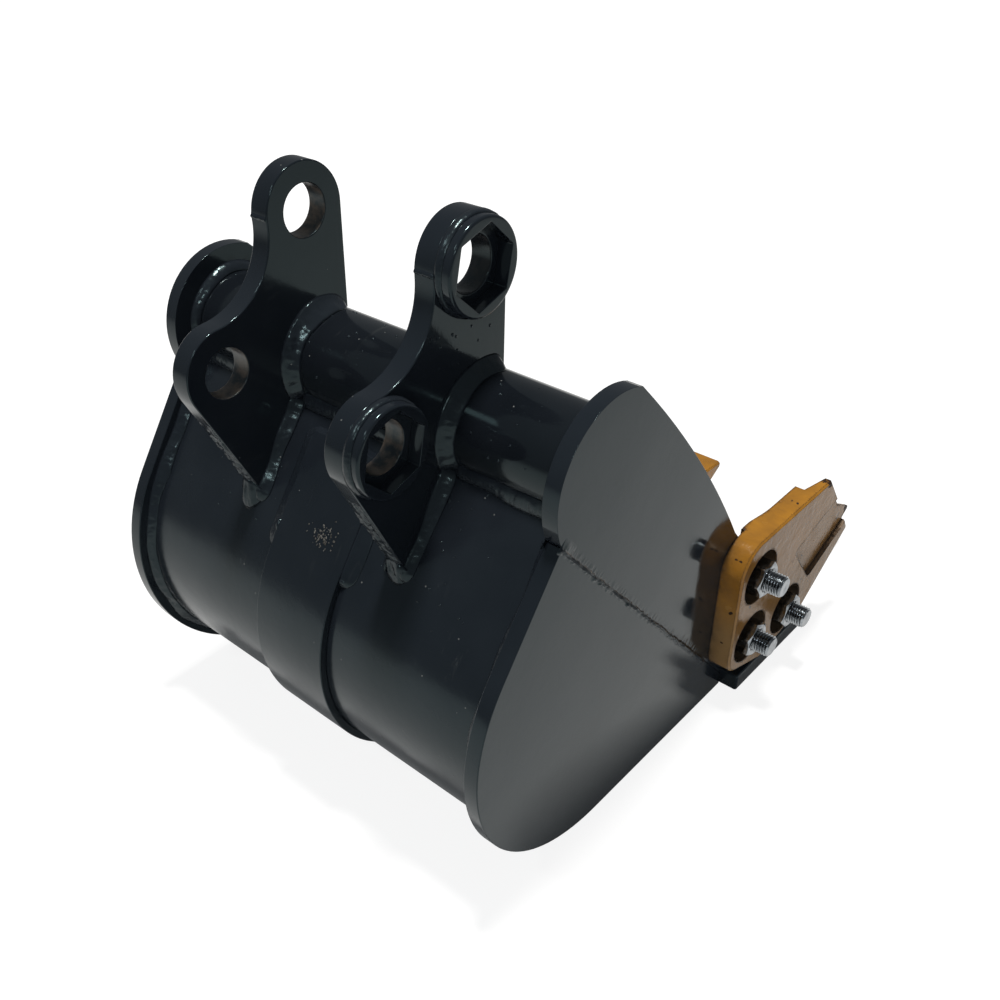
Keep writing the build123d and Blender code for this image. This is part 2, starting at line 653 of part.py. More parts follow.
def tooth_adapter(x):
    """Weld-on adapter: leg on the lip, shank ahead of it, nose into the point."""
    leg_rear_y = LIP_FRONT_Y - LEG_LENGTH
    leg_top_z = LIP_TOP_Z + LEG_HEIGHT
    body_outline = polygon(
        (leg_rear_y, LIP_TOP_Z),
        (LIP_FRONT_Y - LIP_BEVEL, LIP_TOP_Z),
        (LIP_FRONT_Y, BASE_Z + LIP_NOSE),
        (LIP_FRONT_Y, POINT_LOW_Z),
        (SHOULDER_Y, POINT_LOW_Z),
        (SHOULDER_Y, POINT_TOP_Z - 1),
        (LIP_FRONT_Y - 8, POINT_TOP_Z - 2),
        (leg_rear_y + 22, leg_top_z),
        (leg_rear_y, LIP_TOP_Z + LEG_HEIGHT / 2),
    )
    body = plate(body_outline, -SHANK_WIDTH / 2, SHANK_WIDTH / 2)
    top_edges = body.edges().filter_by(lambda edge: is_adapter_corner(edge))
    body = fillet(top_edges, 3)
    pin_hole = rod(LOCK_PIN, LOCK_PIN_RADIUS + LOCK_PIN_CLEARANCE, -SHANK_WIDTH, SHANK_WIDTH)
    return Pos(x, 0, 0) * (body + (nose_block(0) - pin_hole))


def is_adapter_corner(edge):
    """True for the long upper corner edges of the adapter body."""
    centre = edge.center()
    on_side = abs(abs(centre.X) - SHANK_WIDTH / 2) < 0.1
    return on_side and centre.Z > LIP_TOP_Z + LEG_HEIGHT / 2 and centre.Y < SHOULDER_Y - 1


def tooth_pins():
    pins = []
    half = POINT_TIP_WIDTH / 2
    for x in (-TOOTH_PITCH, 0, TOOTH_PITCH):
        pins.append(Pos(x, 0, 0) * rod(LOCK_PIN, LOCK_PIN_RADIUS, -half, half))
    return separate(*pins)


# ---- weld beads ----

def tube_ring(section):
    """Turn an (x, r) section once round the tube axis."""
    section_plane = Plane(origin=(0, TUBE.X, TUBE.Y), x_dir=(1, 0, 0), z_dir=(0, -1, 0))
    return revolve(section_plane * section, axis=Axis((0, TUBE.X, TUBE.Y), (1, 0, 0)))


def ear_side_bead(face_x, leg_x):
    """Bead round the foot of the right ear on one of its faces."""
    along_tube = tube_ring(bead_section(face_x, TUBE_RADIUS, leg_x, EAR_BEAD))
    flank_section = heel_plane(FLANK_NORMAL) * bead_section(face_x, SHELL_RADIUS, leg_x, EAR_BEAD)
    down_flank = extrude(flank_section, amount=-TUBE_LEVEL)
    footprint = plate(ear_outline(), face_x - EAR_BEAD, face_x + EAR_BEAD)
    far = TUBE_RADIUS * 3
    stop = EAR_FRONT_ANGLE + EAR_BEAD_STOP
    front = polygon(TUBE, at(TUBE, along(stop - 90), far), at(TUBE, along(stop - 45), far), at(TUBE, along(stop), far))
    beyond_stop = plate(front, face_x - EAR_BEAD, face_x + EAR_BEAD)
    return ((along_tube + down_flank) & footprint) - beyond_stop


def right_ear_beads():
    outer = ear_side_bead(EAR_OUTER_X, EAR_BEAD)
    inner = ear_side_bead(EAR_INNER_X, -EAR_BEAD)
    return separate(outer, inner)


def boss_welds():
    beads = []
    for pin in (DIPPER_PIN, LINK_PIN):
        section = bead_section(EAR_OUTER_X, BOSS_RADIUS, BOSS_BEAD_HEIGHT, EAR_LOBE_RADIUS - BOSS_RADIUS)
        section_plane = Plane(origin=(0, pin.X, pin.Y), x_dir=(1, 0, 0), z_dir=(0, -1, 0))
        beads.append(revolve(section_plane * section, axis=Axis((0, pin.X, pin.Y), (1, 0, 0))))
    return separate(*beads)


def right_tube_end_bead():
    ring = tube_ring(bead_section(SIDE_INNER_X, TUBE_RADIUS, -TUBE_BEAD, TUBE_BEAD))
    shell_path = belt_strip(0, SIDE_INNER_X, SHELL_RADIUS - SHELL_THICKNESS, SHELL_RADIUS)
    shell_block = extrude(heel_plane(FLANK_NORMAL) * shell_path, amount=-TUBE_LEVEL)
    return ring - shell_block


def tube_seam_weld():
    """Bead along the joint of tube and flank, stopped at the ears and their beads."""
    lower_end = at(TUBE_SEAM, FLANK_UP, -TUBE_BEAD)
    seam_angle = math.degrees(math.atan2(TUBE_SEAM.Y - TUBE.Y, TUBE_SEAM.X - TUBE.X)) % 360
    upper_angle = seam_angle - math.degrees(TUBE_BEAD / TUBE_RADIUS)
    upper_end = at(TUBE, along(upper_angle), TUBE_RADIUS)
    inside = at(TUBE_SEAM, FLANK_NORMAL, -1)
    swell = at((lower_end + upper_end) * 0.5, FLANK_NORMAL, 1.2)
    face = make_face([
        ThreePointArc(lower_end, swell, upper_end),
        Line(upper_end, inside),
        Line(inside, lower_end),
    ])
    flank_face = at(HEEL, FLANK_NORMAL, SHELL_RADIUS)
    behind = at(flank_face, FLANK_NORMAL, SHELL_RADIUS)
    up = FLANK_UP * (TUBE_LEVEL * 2)
    half_plane = polygon(flank_face, behind, behind + up, flank_face + up)
    face = face & half_plane
    pieces = []
    inner_end = EAR_INNER_X - EAR_BEAD
    pieces.append(plate(face, -inner_end, inner_end) - tube_solid())
    outer_start = EAR_OUTER_X + EAR_BEAD
    outer_end = SIDE_INNER_X - TUBE_BEAD
    outer = plate(face, outer_start, outer_end) - tube_solid()
    return separate(*pieces, outer, mirrored(outer))


def right_side_bead():
    """Bead in the corner of the side plate and the outside of the shell."""
    ring_edge = flank_circle_crossing(SHELL_RADIUS, TUBE_RADIUS + TUBE_BEAD, lower=True)
    level = (ring_edge - HEEL).dot(FLANK_UP)
    section = bead_section(SIDE_INNER_X, SHELL_RADIUS, -SHELL_BEAD, SHELL_BEAD)
    return belt(section, level, FLOOR_LENGTH - LIP_BEAD)


def right_inner_bead():
    """Bead in the corner of the side plate and the inside of the shell."""
    level = (TUBE - HEEL).dot(FLANK_UP) - TUBE_RADIUS - TUBE_BEAD
    inside_radius = SHELL_RADIUS - SHELL_THICKNESS
    section = bead_section(SIDE_INNER_X, inside_radius, -INNER_BEAD, -INNER_BEAD)
    return belt(section, level, FLOOR_LENGTH)


def strap_welds():
    """Beads along both edges of the strap, down the flank to the start of the heel."""
    seam_level = (TUBE_SEAM - HEEL).dot(FLANK_UP)
    length = seam_level - STRAP_TOP_GAP - STRAP_THICKNESS
    section = bead_section(STRAP_WIDTH / 2, SHELL_RADIUS, STRAP_BEAD, STRAP_BEAD)
    return both(extrude(heel_plane(FLANK_NORMAL) * section, amount=-length))


def seam_bead(face_x, outward, stop_y):
    """Low cap along the butt seam on one face of the right side plate."""
    length = (stop_y - NOTCH.X) / SEAM.X
    half = SEAM_BEAD_WIDTH / 2
    cap_plane = Plane(
        origin=(face_x, NOTCH.X, NOTCH.Y),
        x_dir=(0, SEAM.Y, -SEAM.X),
        z_dir=(0, SEAM.X, SEAM.Y),
    )
    rise = SEAM_BEAD_HEIGHT * outward * (1 if cap_plane.y_dir.X > 0 else -1)
    crown = half * SEAM_BEAD_CROWN
    cap = polygon((-half, 0), (-crown, rise), (crown, rise), (half, 0))
    bead = extrude(cap_plane * cap, amount=length)
    reach = SEAM_BEAD_HEIGHT * 2
    return bead & plate(side_outline(), face_x - reach, face_x + reach)


def right_seam_beads():
    stop_y = FRONT_BEND_Y - CUTTER_REAR - SEAM_BEAD_WIDTH / 2
    outer = seam_bead(SIDE_OUTER_X, 1, stop_y)
    inside_shell = at(HEEL, FLANK_NORMAL, SHELL_RADIUS - SHELL_THICKNESS - INNER_BEAD)
    inner = seam_bead(SIDE_INNER_X, -1, stop_y)
    near = at(inside_shell, FLANK_UP, -TUBE_LEVEL)
    far = at(inside_shell, FLANK_UP, TUBE_LEVEL * 2)
    beyond = FLANK_NORMAL * SHELL_RADIUS
    outside = polygon(near, far, far + beyond, near + beyond)
    inner -= plate(outside, SIDE_INNER_X - SEAM_BEAD_WIDTH, SIDE_INNER_X)
    inner -= rod(TUBE, TUBE_RADIUS + TUBE_BEAD, SIDE_INNER_X - SEAM_BEAD_WIDTH, SIDE_INNER_X)
    return separate(outer, inner)


def lip_welds():
    """Beads above and below the joint of floor and lip, and along the side plates."""
    top_step = FLOOR_TOP_Z - LIP_TOP_Z
    top = polygon(
        (LIP_REAR_Y, LIP_TOP_Z),
        (LIP_REAR_Y + LIP_BEAD, LIP_TOP_Z),
        (LIP_REAR_Y, LIP_TOP_Z + top_step),
    )
    bottom = polygon(
        (LIP_REAR_Y, SHELL_BOTTOM_Z),
        (LIP_REAR_Y - LIP_BEAD, SHELL_BOTTOM_Z),
        (LIP_REAR_Y - LIP_BEAD * 0.6, SHELL_BOTTOM_Z - LIP_BEAD * 0.6),
        (LIP_REAR_Y, SHELL_BOTTOM_Z - LIP_BEAD),
    )
    across_top = plate(top, -SIDE_INNER_X, SIDE_INNER_X)
    across_bottom = plate(bottom, -SIDE_INNER_X, SIDE_INNER_X)
    side_plane = Plane(origin=(0, LIP_REAR_Y + LIP_BEAD, LIP_TOP_Z), x_dir=(1, 0, 0), z_dir=(0, -1, 0))
    side_section = side_plane * bead_section(SIDE_INNER_X, 0, -LIP_SIDE_BEAD, LIP_SIDE_BEAD)
    side_length = LIP_CORNER.X - LIP_REAR_Y - LIP_BEAD
    side = extrude(side_section, amount=-side_length)
    return separate(across_top, across_bottom, side, mirrored(side))


def adapter_welds():
    """Beads along both sides and the rear of each adapter leg."""
    leg_rear_y = LIP_FRONT_Y - LEG_LENGTH
    leg_end_y = LIP_FRONT_Y - LIP_BEVEL
    half = SHANK_WIDTH / 2
    side_plane = Plane(origin=(0, leg_rear_y, LIP_TOP_Z), x_dir=(1, 0, 0), z_dir=(0, -1, 0))
    section = side_plane * bead_section(half, 0, ADAPTER_BEAD, ADAPTER_BEAD)
    side = extrude(section, amount=-(leg_end_y - leg_rear_y))
    rear = make_face([
        Line((leg_rear_y, LIP_TOP_Z), (leg_rear_y - ADAPTER_BEAD, LIP_TOP_Z)),
        Line((leg_rear_y - ADAPTER_BEAD, LIP_TOP_Z), (leg_rear_y, LIP_TOP_Z + ADAPTER_BEAD)),
        Line((leg_rear_y, LIP_TOP_Z + ADAPTER_BEAD), (leg_rear_y, LIP_TOP_Z)),
    ])
    back = plate(rear, -half - ADAPTER_BEAD, half + ADAPTER_BEAD)
    bead = side + mirrored(side) + back
    return separate(*[Pos(x, 0, 0) * bead for x in (-TOOTH_PITCH, 0, TOOTH_PITCH)])


# ---- one file per node ----

def nodes():
    upper = right_upper_side_plate()
    lower = right_lower_side_plate()
    ear = right_ear()
    cutter = right_side_cutter()
    bolts = right_cutter_bolts()
    nuts = right_cutter_nuts()
    washers = right_cutter_washers()
    return {
        "torque_tube": torque_tube(),
        "wrapper_shell": wrapper_shell(),
        "wear_strap": wear_strap(),
        "cutting_edge": cutting_edge(),
        "right_upper_side_plate": upper,
        "left_upper_side_plate": mirrored(upper),
        "right_lower_side_plate": lower,
        "left_lower_side_plate": mirrored(lower),
        "right_ear": ear,
        "left_ear": mirrored(ear),
        "dipper_pin_hex_boss": hex_boss(DIPPER_PIN),
        "link_pin_hex_boss": hex_boss(LINK_PIN),
        "right_side_cutter": cutter,
        "left_side_cutter": mirrored(cutter),
        "right_cutter_bolts": bolts,
        "left_cutter_bolts": mirrored(bolts),
        "right_cutter_nuts": nuts,
        "left_cutter_nuts": mirrored(nuts),
        "right_cutter_washers": washers,
        "left_cutter_washers": mirrored(washers),
        "left_tooth_adapter": tooth_adapter(-TOOTH_PITCH),
        "centre_tooth_adapter": tooth_adapter(0),
        "right_tooth_adapter": tooth_adapter(TOOTH_PITCH),
        "left_tooth_point": tooth_point(-TOOTH_PITCH),
        "centre_tooth_point": tooth_point(0),
        "right_tooth_point": tooth_point(TOOTH_PITCH),
        "tooth_pins": tooth_pins(),
        "ear_welds": both(right_ear_beads()),
        "boss_welds": boss_welds(),
        "tube_end_welds": both(right_tube_end_bead()),
        "tube_seam_weld": tube_seam_weld(),
        "strap_welds": strap_welds(),
        "side_seam_welds": both(right_side_bead()),
        "inner_side_welds": both(right_inner_bead()),
        "plate_seam_welds": both(right_seam_beads()),
        "lip_welds": lip_welds(),
        "adapter_welds": adapter_welds(),
    }


os.makedirs("parts", exist_ok=True)
for name, shape in nodes().items():
    export_step(shape, "parts/" + name + ".step")
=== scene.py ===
# %% [markdown]
# # A digging bucket for a small excavator
# The bucket is welded from plate and tube, sprayed with gloss black enamel, and
# carries cast side cutters painted mustard. The solids come from the CAD model,
# so this script never moves them. It rounds their edges, lays real weld beads in
# the corners, cuts threads on the bolts, and mixes a finish for every surface.
# Everything is in metres: +X right, +Y forward to the teeth, +Z up, and the
# origin is on the axis of the upper pin.

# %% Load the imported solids
import json
import math
import random

import bmesh
import bpy
from mathutils import Matrix, Vector, noise as clouds_3d


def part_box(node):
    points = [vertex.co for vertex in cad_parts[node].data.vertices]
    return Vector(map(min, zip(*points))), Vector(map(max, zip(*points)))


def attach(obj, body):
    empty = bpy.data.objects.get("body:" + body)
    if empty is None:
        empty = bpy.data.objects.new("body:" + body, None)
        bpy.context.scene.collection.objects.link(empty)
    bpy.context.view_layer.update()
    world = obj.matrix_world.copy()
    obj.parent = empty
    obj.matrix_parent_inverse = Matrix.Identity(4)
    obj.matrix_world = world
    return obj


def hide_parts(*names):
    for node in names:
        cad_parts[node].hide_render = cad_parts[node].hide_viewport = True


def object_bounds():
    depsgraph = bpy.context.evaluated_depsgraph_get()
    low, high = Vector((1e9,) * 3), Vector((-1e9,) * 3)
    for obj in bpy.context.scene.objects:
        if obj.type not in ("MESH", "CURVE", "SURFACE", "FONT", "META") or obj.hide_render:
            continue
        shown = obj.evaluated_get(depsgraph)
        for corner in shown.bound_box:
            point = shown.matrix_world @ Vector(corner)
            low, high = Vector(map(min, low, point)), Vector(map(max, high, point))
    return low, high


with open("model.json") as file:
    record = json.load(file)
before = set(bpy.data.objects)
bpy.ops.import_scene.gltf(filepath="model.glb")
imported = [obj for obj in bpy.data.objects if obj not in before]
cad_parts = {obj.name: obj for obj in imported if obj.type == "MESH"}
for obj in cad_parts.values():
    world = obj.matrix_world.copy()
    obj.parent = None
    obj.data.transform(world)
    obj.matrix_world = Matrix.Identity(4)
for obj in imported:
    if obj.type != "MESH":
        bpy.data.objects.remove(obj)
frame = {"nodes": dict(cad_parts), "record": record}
cad_low, cad_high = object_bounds()
solids = frame["nodes"]
print("solids:", len(solids), "box:", tuple(cad_low), tuple(cad_high))

# %% [markdown]
# ## Camera
# A camera can be placed by dragging it about, or by numbers. Numbers are used
# here, because the bucket is seen from behind and above its right corner at a
# fixed angle. Three directions at right angles make the camera's own axes. The
# small lens shift slides the picture without turning the camera.

# %% Place the camera
CAMERA_PLACE = Vector((0.41711, -0.37705, 0.20750))
CAMERA_AHEAD = Vector((-0.53621, 0.56712, -0.62519))
CAMERA_RIGHT = Vector((0.74316, 0.66839, -0.03107))
FOCAL_LENGTH = 38.00
LENS_SHIFT = (0.03, 0.08)


def aim(ahead, right):
    """Rotation whose -Z looks ahead and whose +X points to the picture's right."""
    back = -ahead.normalized()
    up = back.cross(right).normalized()
    side = up.cross(back).normalized()
    return Matrix((side, up, back)).transposed()


camera = bpy.data.objects.new("camera", bpy.data.cameras.new("camera"))
bpy.context.scene.collection.objects.link(camera)
camera.matrix_world = Matrix.Translation(CAMERA_PLACE) @ aim(CAMERA_AHEAD, CAMERA_RIGHT).to_4x4()
camera.data.lens = FOCAL_LENGTH
camera.data.sensor_width = 36.0
camera.data.shift_x, camera.data.shift_y = LENS_SHIFT
camera.data.clip_start = 0.01
camera.data.clip_end = 50.0
bpy.context.scene.camera = camera
print("camera is", round((CAMERA_PLACE - (cad_low + cad_high) / 2).length, 3), "m from the middle")

# %% [markdown]
# ## Small helpers for the finishes
# Blender builds a material from nodes joined by links. Adding each node by hand
# takes four lines, so one helper makes a node, sets it and joins its inputs. The
# others make what is needed again and again: clouds of noise, ranges, sums,
# colour mixes and bumps.

# %% Helpers for nodes
def put(tree, kind, inputs=None, **settings):
    """Add a node. An input given as a socket is linked, any other value is set."""
    made = tree.nodes.new(kind)
    for name, value in settings.items():
        setattr(made, name, value)
    for name, value in (inputs or {}).items():
        if isinstance(value, bpy.types.NodeSocket):
            tree.links.new(value, made.inputs[name])
        else:
            made.inputs[name].default_value = value
    return made


def place(tree):
    """Where a point is on the bucket, in metres."""
    return put(tree, "ShaderNodeTexCoord").outputs["Object"]


def noise(tree, where, scale, detail=2.0, rough=0.5, warp=0.0):
    """Cloudy pattern from 0 to 1 with about one cloud per 1 / scale metres."""
    return put(tree, "ShaderNodeTexNoise", {
        "Vector": where, "Scale": scale, "Detail": detail, "Roughness": rough, "Distortion": warp,
    }).outputs["Fac"]


def spread(tree, value, low, high, new_low=0.0, new_high=1.0):
    """Stretch a value from one range to another, without leaving it."""
    return put(tree, "ShaderNodeMapRange", {
        "Value": value, "From Min": low, "From Max": high, "To Min": new_low, "To Max": new_high,
    }).outputs["Result"]


print("helpers:", [helper.__name__ for helper in (put, place, noise, spread)])


# %% Helpers for sums and measures
RAYS = 6


def calc(tree, operation, first, second):
    """One sum on two values."""
    made = tree.nodes.new("ShaderNodeMath")
    made.operation = operation
    for slot, value in enumerate((first, second)):
        if isinstance(value, bpy.types.NodeSocket):
            tree.links.new(value, made.inputs[slot])
        else:
            made.inputs[slot].default_value = value
    return made.outputs[0]


def times(tree, first, second):
    return calc(tree, "MULTIPLY", first, second)


def plus(tree, first, second):
    return calc(tree, "ADD", first, second)


def size_of(tree, value):
    """A value without its sign."""
    return calc(tree, "ABSOLUTE", value, 0.0)


def split(tree, vector):
    """The X, Y and Z of a vector."""
    return put(tree, "ShaderNodeSeparateXYZ", {"Vector": vector}).outputs


def openness(tree, reach):
    """1 in the open and lower in hollows that are about as wide as the reach."""
    return put(tree, "ShaderNodeAmbientOcclusion", {"Distance": reach}, samples=RAYS).outputs["AO"]


print("helpers:", [helper.__name__ for helper in (calc, times, plus, size_of, split, openness)])


# %% Helpers for colour and bumps
def tint(tree, share, first, second):
    """Mix two colours by a share from 0 to 1."""
    made = tree.nodes.new("ShaderNodeMix")
    made.data_type = "RGBA"
    for slot, value in (("Factor_Float", share), ("A_Color", first), ("B_Color", second)):
        socket = next(s for s in made.inputs if s.identifier == slot)
        if isinstance(value, bpy.types.NodeSocket):
            tree.links.new(value, socket)
        else:
            socket.default_value = (*value, 1.0)
    return next(s for s in made.outputs if s.identifier == "Result_Color")


def swell(tree, height, depth, strength=1.0, normal=None):
    """Bump the surface by a height from 0 to 1, depth metres high."""
    inputs = {"Height": height, "Distance": depth, "Strength": strength}
    if normal is not None:
        inputs["Normal"] = normal
    return put(tree, "ShaderNodeBump", inputs).outputs["Normal"]


print("helpers:", [helper.__name__ for helper in (tint, swell)])

# %% [markdown]
# ## Starting a finish
# A finish is a material with one principled shader, which can be paint or metal.
# What differs from place to place is its colour, its roughness and the direction
# of its surface. The same finish is put on many solids, as one tin of paint is.


# %% Start a finish and put it on solids
def new_finish(name):
    """A fresh material with a principled shader joined to its output."""
    made = bpy.data.materials.new(name)
    made.use_nodes = True
    tree = made.node_tree
    tree.nodes.clear()
    shader = tree.nodes.new("ShaderNodeBsdfPrincipled")
    output = tree.nodes.new("ShaderNodeOutputMaterial")
    tree.links.new(shader.outputs["BSDF"], output.inputs["Surface"])
    return made, tree, shader


def join(tree, shader, colour, rough, normal):
    """Link the three things that vary over every finish."""
    for socket, value in (("Base Color", colour), ("Roughness", rough), ("Normal", normal)):
        tree.links.new(value, shader.inputs[socket])


def dress(solid_names, finish):
    """Give CAD solids a finish."""
    for name in solid_names:
        slots = solids[name].data.materials
        slots.clear()
        slots.append(finish)


print("solids to dress:", len(solids))

# %% [markdown]
# ## Floor, backdrop and light
# The bucket stands on a white studio floor. One small bright lamp hangs high
# above it, two weak ones stand behind it, and the floor bounces light back up.
# Gloss black shows almost nothing but its surroundings, so the room above the
# floor is kept dim: the flat right side mirrors the pale floor and turns grey,
# the parts that mirror the room stay black, and the shadow on the floor shows
# as a dark band along the lower edges. To the camera the floor is nearly its own
# light, so that it stays white, but near the bucket it keeps a faint share of
# the shadow. From below it is clear, so that the underside can be looked at too.

# %% Mix the floor's paint
FLOOR_BOUNCE = 0.8
FLOOR_GLOW = 0.86
FLOOR_SHADE = 0.22
SHADOW_REACH = (0.6, 1.3)
MIRRORED_GLOW = 0.04
MIRRORED_SHADE = 0.68
WHITE = (1.0, 1.0, 1.0, 1.0)


def seen_directly(tree):
    """1 for rays from the camera, a mirror or glass, and 0 for soft light."""
    rays = put(tree, "ShaderNodeLightPath").outputs
    either = calc(tree, "MAXIMUM", rays["Is Camera Ray"], rays["Is Glossy Ray"])
    return calc(tree, "MAXIMUM", either, rays["Is Transmission Ray"])


def floor_paint():
    """White paint that glows to the camera, and is darker in a mirror."""
    made = bpy.data.materials.new("studio_floor")
    made.use_nodes = True
    tree = made.node_tree
    tree.nodes.clear()
    bounce = put(tree, "ShaderNodeBsdfDiffuse", {"Color": (FLOOR_BOUNCE,) * 3 + (1.0,)})
    by_eye = put(tree, "ShaderNodeLightPath").outputs["Is Camera Ray"]
    shade = spread(tree, by_eye, 0.0, 1.0, MIRRORED_SHADE, FLOOR_SHADE)
    dim = put(tree, "ShaderNodeBsdfDiffuse", {"Color": shade})
    apart = put(tree, "ShaderNodeVectorMath", {0: place(tree)}, operation="LENGTH").outputs["Value"]
    to_eye = spread(tree, apart, *SHADOW_REACH, FLOOR_GLOW, 1.0)
    strength = put(tree, "ShaderNodeMix", {"Factor": by_eye, "A": MIRRORED_GLOW, "B": to_eye})
    glow = put(tree, "ShaderNodeEmission", {"Color": WHITE, "Strength": strength.outputs["Result"]})
    seen = put(tree, "ShaderNodeAddShader")
    tree.links.new(dim.outputs[0], seen.inputs[0])
    tree.links.new(glow.outputs[0], seen.inputs[1])
    mixed = put(tree, "ShaderNodeMixShader", {"Fac": seen_directly(tree)})
    tree.links.new(bounce.outputs[0], mixed.inputs[1])
    tree.links.new(seen.outputs[0], mixed.inputs[2])
    from_below = times(tree, put(tree, "ShaderNodeNewGeometry").outputs["Backfacing"], by_eye)
    one_sided = put(tree, "ShaderNodeMixShader", {"Fac": from_below})
    tree.links.new(mixed.outputs[0], one_sided.inputs[1])
    tree.links.new(tree.nodes.new("ShaderNodeBsdfTransparent").outputs[0], one_sided.inputs[2])
    output = tree.nodes.new("ShaderNodeOutputMaterial")
    tree.links.new(one_sided.outputs[0], output.inputs["Surface"])
    return made


print("floor glows", FLOOR_GLOW, "near the bucket and 1 from", SHADOW_REACH[1], "m on")

# %% Lay the floor
FLOOR_REACH = 6.0
FLOOR_GAP = 0.0002

floor_mesh = bpy.data.meshes.new("studio_floor")
floor_level = cad_low.z - FLOOR_GAP
corners = [(x * FLOOR_REACH, y * FLOOR_REACH, floor_level) for x, y in ((-1, -1), (1, -1), (1, 1), (-1, 1))]
floor_mesh.from_pydata(corners, [], [(0, 1, 2, 3)])
floor_mesh.materials.append(floor_paint())
floor = bpy.data.objects.new("studio_floor", floor_mesh)
bpy.context.scene.collection.objects.link(floor)
print("floor at", round(floor_level, 4))

# %% [markdown]
# ## Backdrop
# Behind the bucket is white paper, which only the camera sees. The gloss sees a
# dim and slightly blue room in its place. One white world for both would be
# simpler, but it would turn every black face pale.

# %% Hang the backdrop
ROOM_GLOW = 0.16
ROOM_COLOUR = (0.93, 0.97, 1.0, 1.0)

world = bpy.data.worlds.new("studio")
bpy.context.scene.world = world
world.use_nodes = True
sky = world.node_tree
sky.nodes.clear()
to_camera = put(sky, "ShaderNodeLightPath").outputs["Is Camera Ray"]
room = put(sky, "ShaderNodeBackground", {"Color": ROOM_COLOUR, "Strength": ROOM_GLOW})
paper = put(sky, "ShaderNodeBackground", {"Color": WHITE, "Strength": 1.0})
backdrop = put(sky, "ShaderNodeMixShader", {"Fac": to_camera})
sky.links.new(room.outputs[0], backdrop.inputs[1])
sky.links.new(paper.outputs[0], backdrop.inputs[2])
sky.links.new(backdrop.outputs[0], sky.nodes.new("ShaderNodeOutputWorld").inputs["Surface"])
print("room glow", ROOM_GLOW)

# %% [markdown]
# ## Lamps
# A studio would hang square softboxes, and a flat area lamp is the same thing. A
# point lamp has no size, so gloss would show it as a hard dot. The squares are
# small and far away, which makes short crisp glints on the ripples of the welds.

# %% Hang the lamps
MIDDLE = Vector((0.0, 0.0, -0.2))
WARM_WHITE = (1.0, 0.98, 0.95)
COOL_WHITE = (0.95, 0.98, 1.0)


def lamp_box(name, place_at, aim_at, width, watts, colour):
    """A flat square lamp that faces a point."""
    lamp = bpy.data.lights.new(name, "AREA")
    lamp.shape = "RECTANGLE"
    lamp.size = lamp.size_y = width
    lamp.energy = watts
    lamp.color = colour
    holder = bpy.data.objects.new(name, lamp)
    bpy.context.scene.collection.objects.link(holder)
    holder.location = place_at
    holder.rotation_euler = (aim_at - Vector(place_at)).to_track_quat("-Z", "Y").to_euler()


lamp_box("overhead_lamp", (-0.05, 0.15, 2.6), Vector((0.0, 0.0, -0.3)), 0.36, 88, WARM_WHITE)
lamp_box("right_lamp", (1.3, -1.3, 1.2), MIDDLE, 0.30, 7.5, COOL_WHITE)
lamp_box("rear_lamp", (-0.36, -1.3, 1.6), MIDDLE, 0.26, 5, COOL_WHITE)
bpy.context.scene.view_settings.view_transform = "Standard"

# %% [markdown]
# ## Gloss black enamel
# The real shell is hot-rolled plate and tube, wire brushed and sprayed with a
# thick gloss enamel. Up close the gloss is not perfect: the film has a fine
# orange peel, the plate under it is slightly wavy, dust has settled in it and
# handling has left dull scuffs. A single glossy black would look like plastic,
# so each of those is a layer here. The pin bores are bare, greasy and worn, and
# the upper one on the right side less than the others.

# %% Dust, scuffs and worn bores
PIN_AXES = [(m["pos_m"][1], m["pos_m"][2]) for m in frame["record"]["mounts"] if m["kind"] == "bore"]
BORE_REACH = 0.0153
FRESH_BORE_SHARE = 0.15
LOBE_BORDER = -0.04


def off_axis(tree, where, axis):
    """The distance from an axis that runs along X."""
    flat = put(tree, "ShaderNodeVectorMath", {0: where, 1: (0.0, 1.0, 1.0)}, operation="MULTIPLY")
    apart = put(tree, "ShaderNodeVectorMath", {0: flat.outputs[0], 1: (0.0, *axis)}, operation="DISTANCE")
    return apart.outputs["Value"]


def near_axes(tree, where, axes, reach):
    """1 inside round holes about some axes along X, and 0 outside them."""
    near = 0.0
    for axis in axes:
        near = calc(tree, "MAXIMUM", near, calc(tree, "LESS_THAN", off_axis(tree, where, axis), reach))
    return near


def specks(tree, where, scale, size, share):
    """Scattered dots: small cells of a Voronoi pattern, some of them left out."""
    cells = put(tree, "ShaderNodeTexVoronoi", {"Vector": where, "Scale": scale})
    dots = calc(tree, "LESS_THAN", cells.outputs["Distance"], size)
    pick = put(tree, "ShaderNodeSeparateColor", {"Color": cells.outputs["Color"]}).outputs[0]
    return times(tree, dots, calc(tree, "LESS_THAN", pick, share))


def scuffs(tree, where, stretch, scale, low, high):
    """Long thin rubbed streaks, in patches."""
    stretched = put(tree, "ShaderNodeVectorMath", {0: where, 1: stretch}, operation="MULTIPLY")
    streaks = noise(tree, stretched.outputs[0], scale, 4.0, 0.6, 0.4)
    patches = noise(tree, where, 11.0, 2.0)
    return times(tree, spread(tree, streaks, low, high), spread(tree, patches, 0.52, 0.72))


def bore_wear(tree, where):
    """1 on the bare metal of the pin bores, and less in the upper right one."""
    spot = split(tree, where)
    upper = calc(tree, "GREATER_THAN", spot["Z"], LOBE_BORDER)
    upper_right = times(tree, calc(tree, "GREATER_THAN", spot["X"], 0.0), upper)
    share = spread(tree, upper_right, 0.0, 1.0, 1.0, FRESH_BORE_SHARE)
    return times(tree, near_axes(tree, where, PIN_AXES, BORE_REACH), share)


print("bores to wear:", len(PIN_AXES))

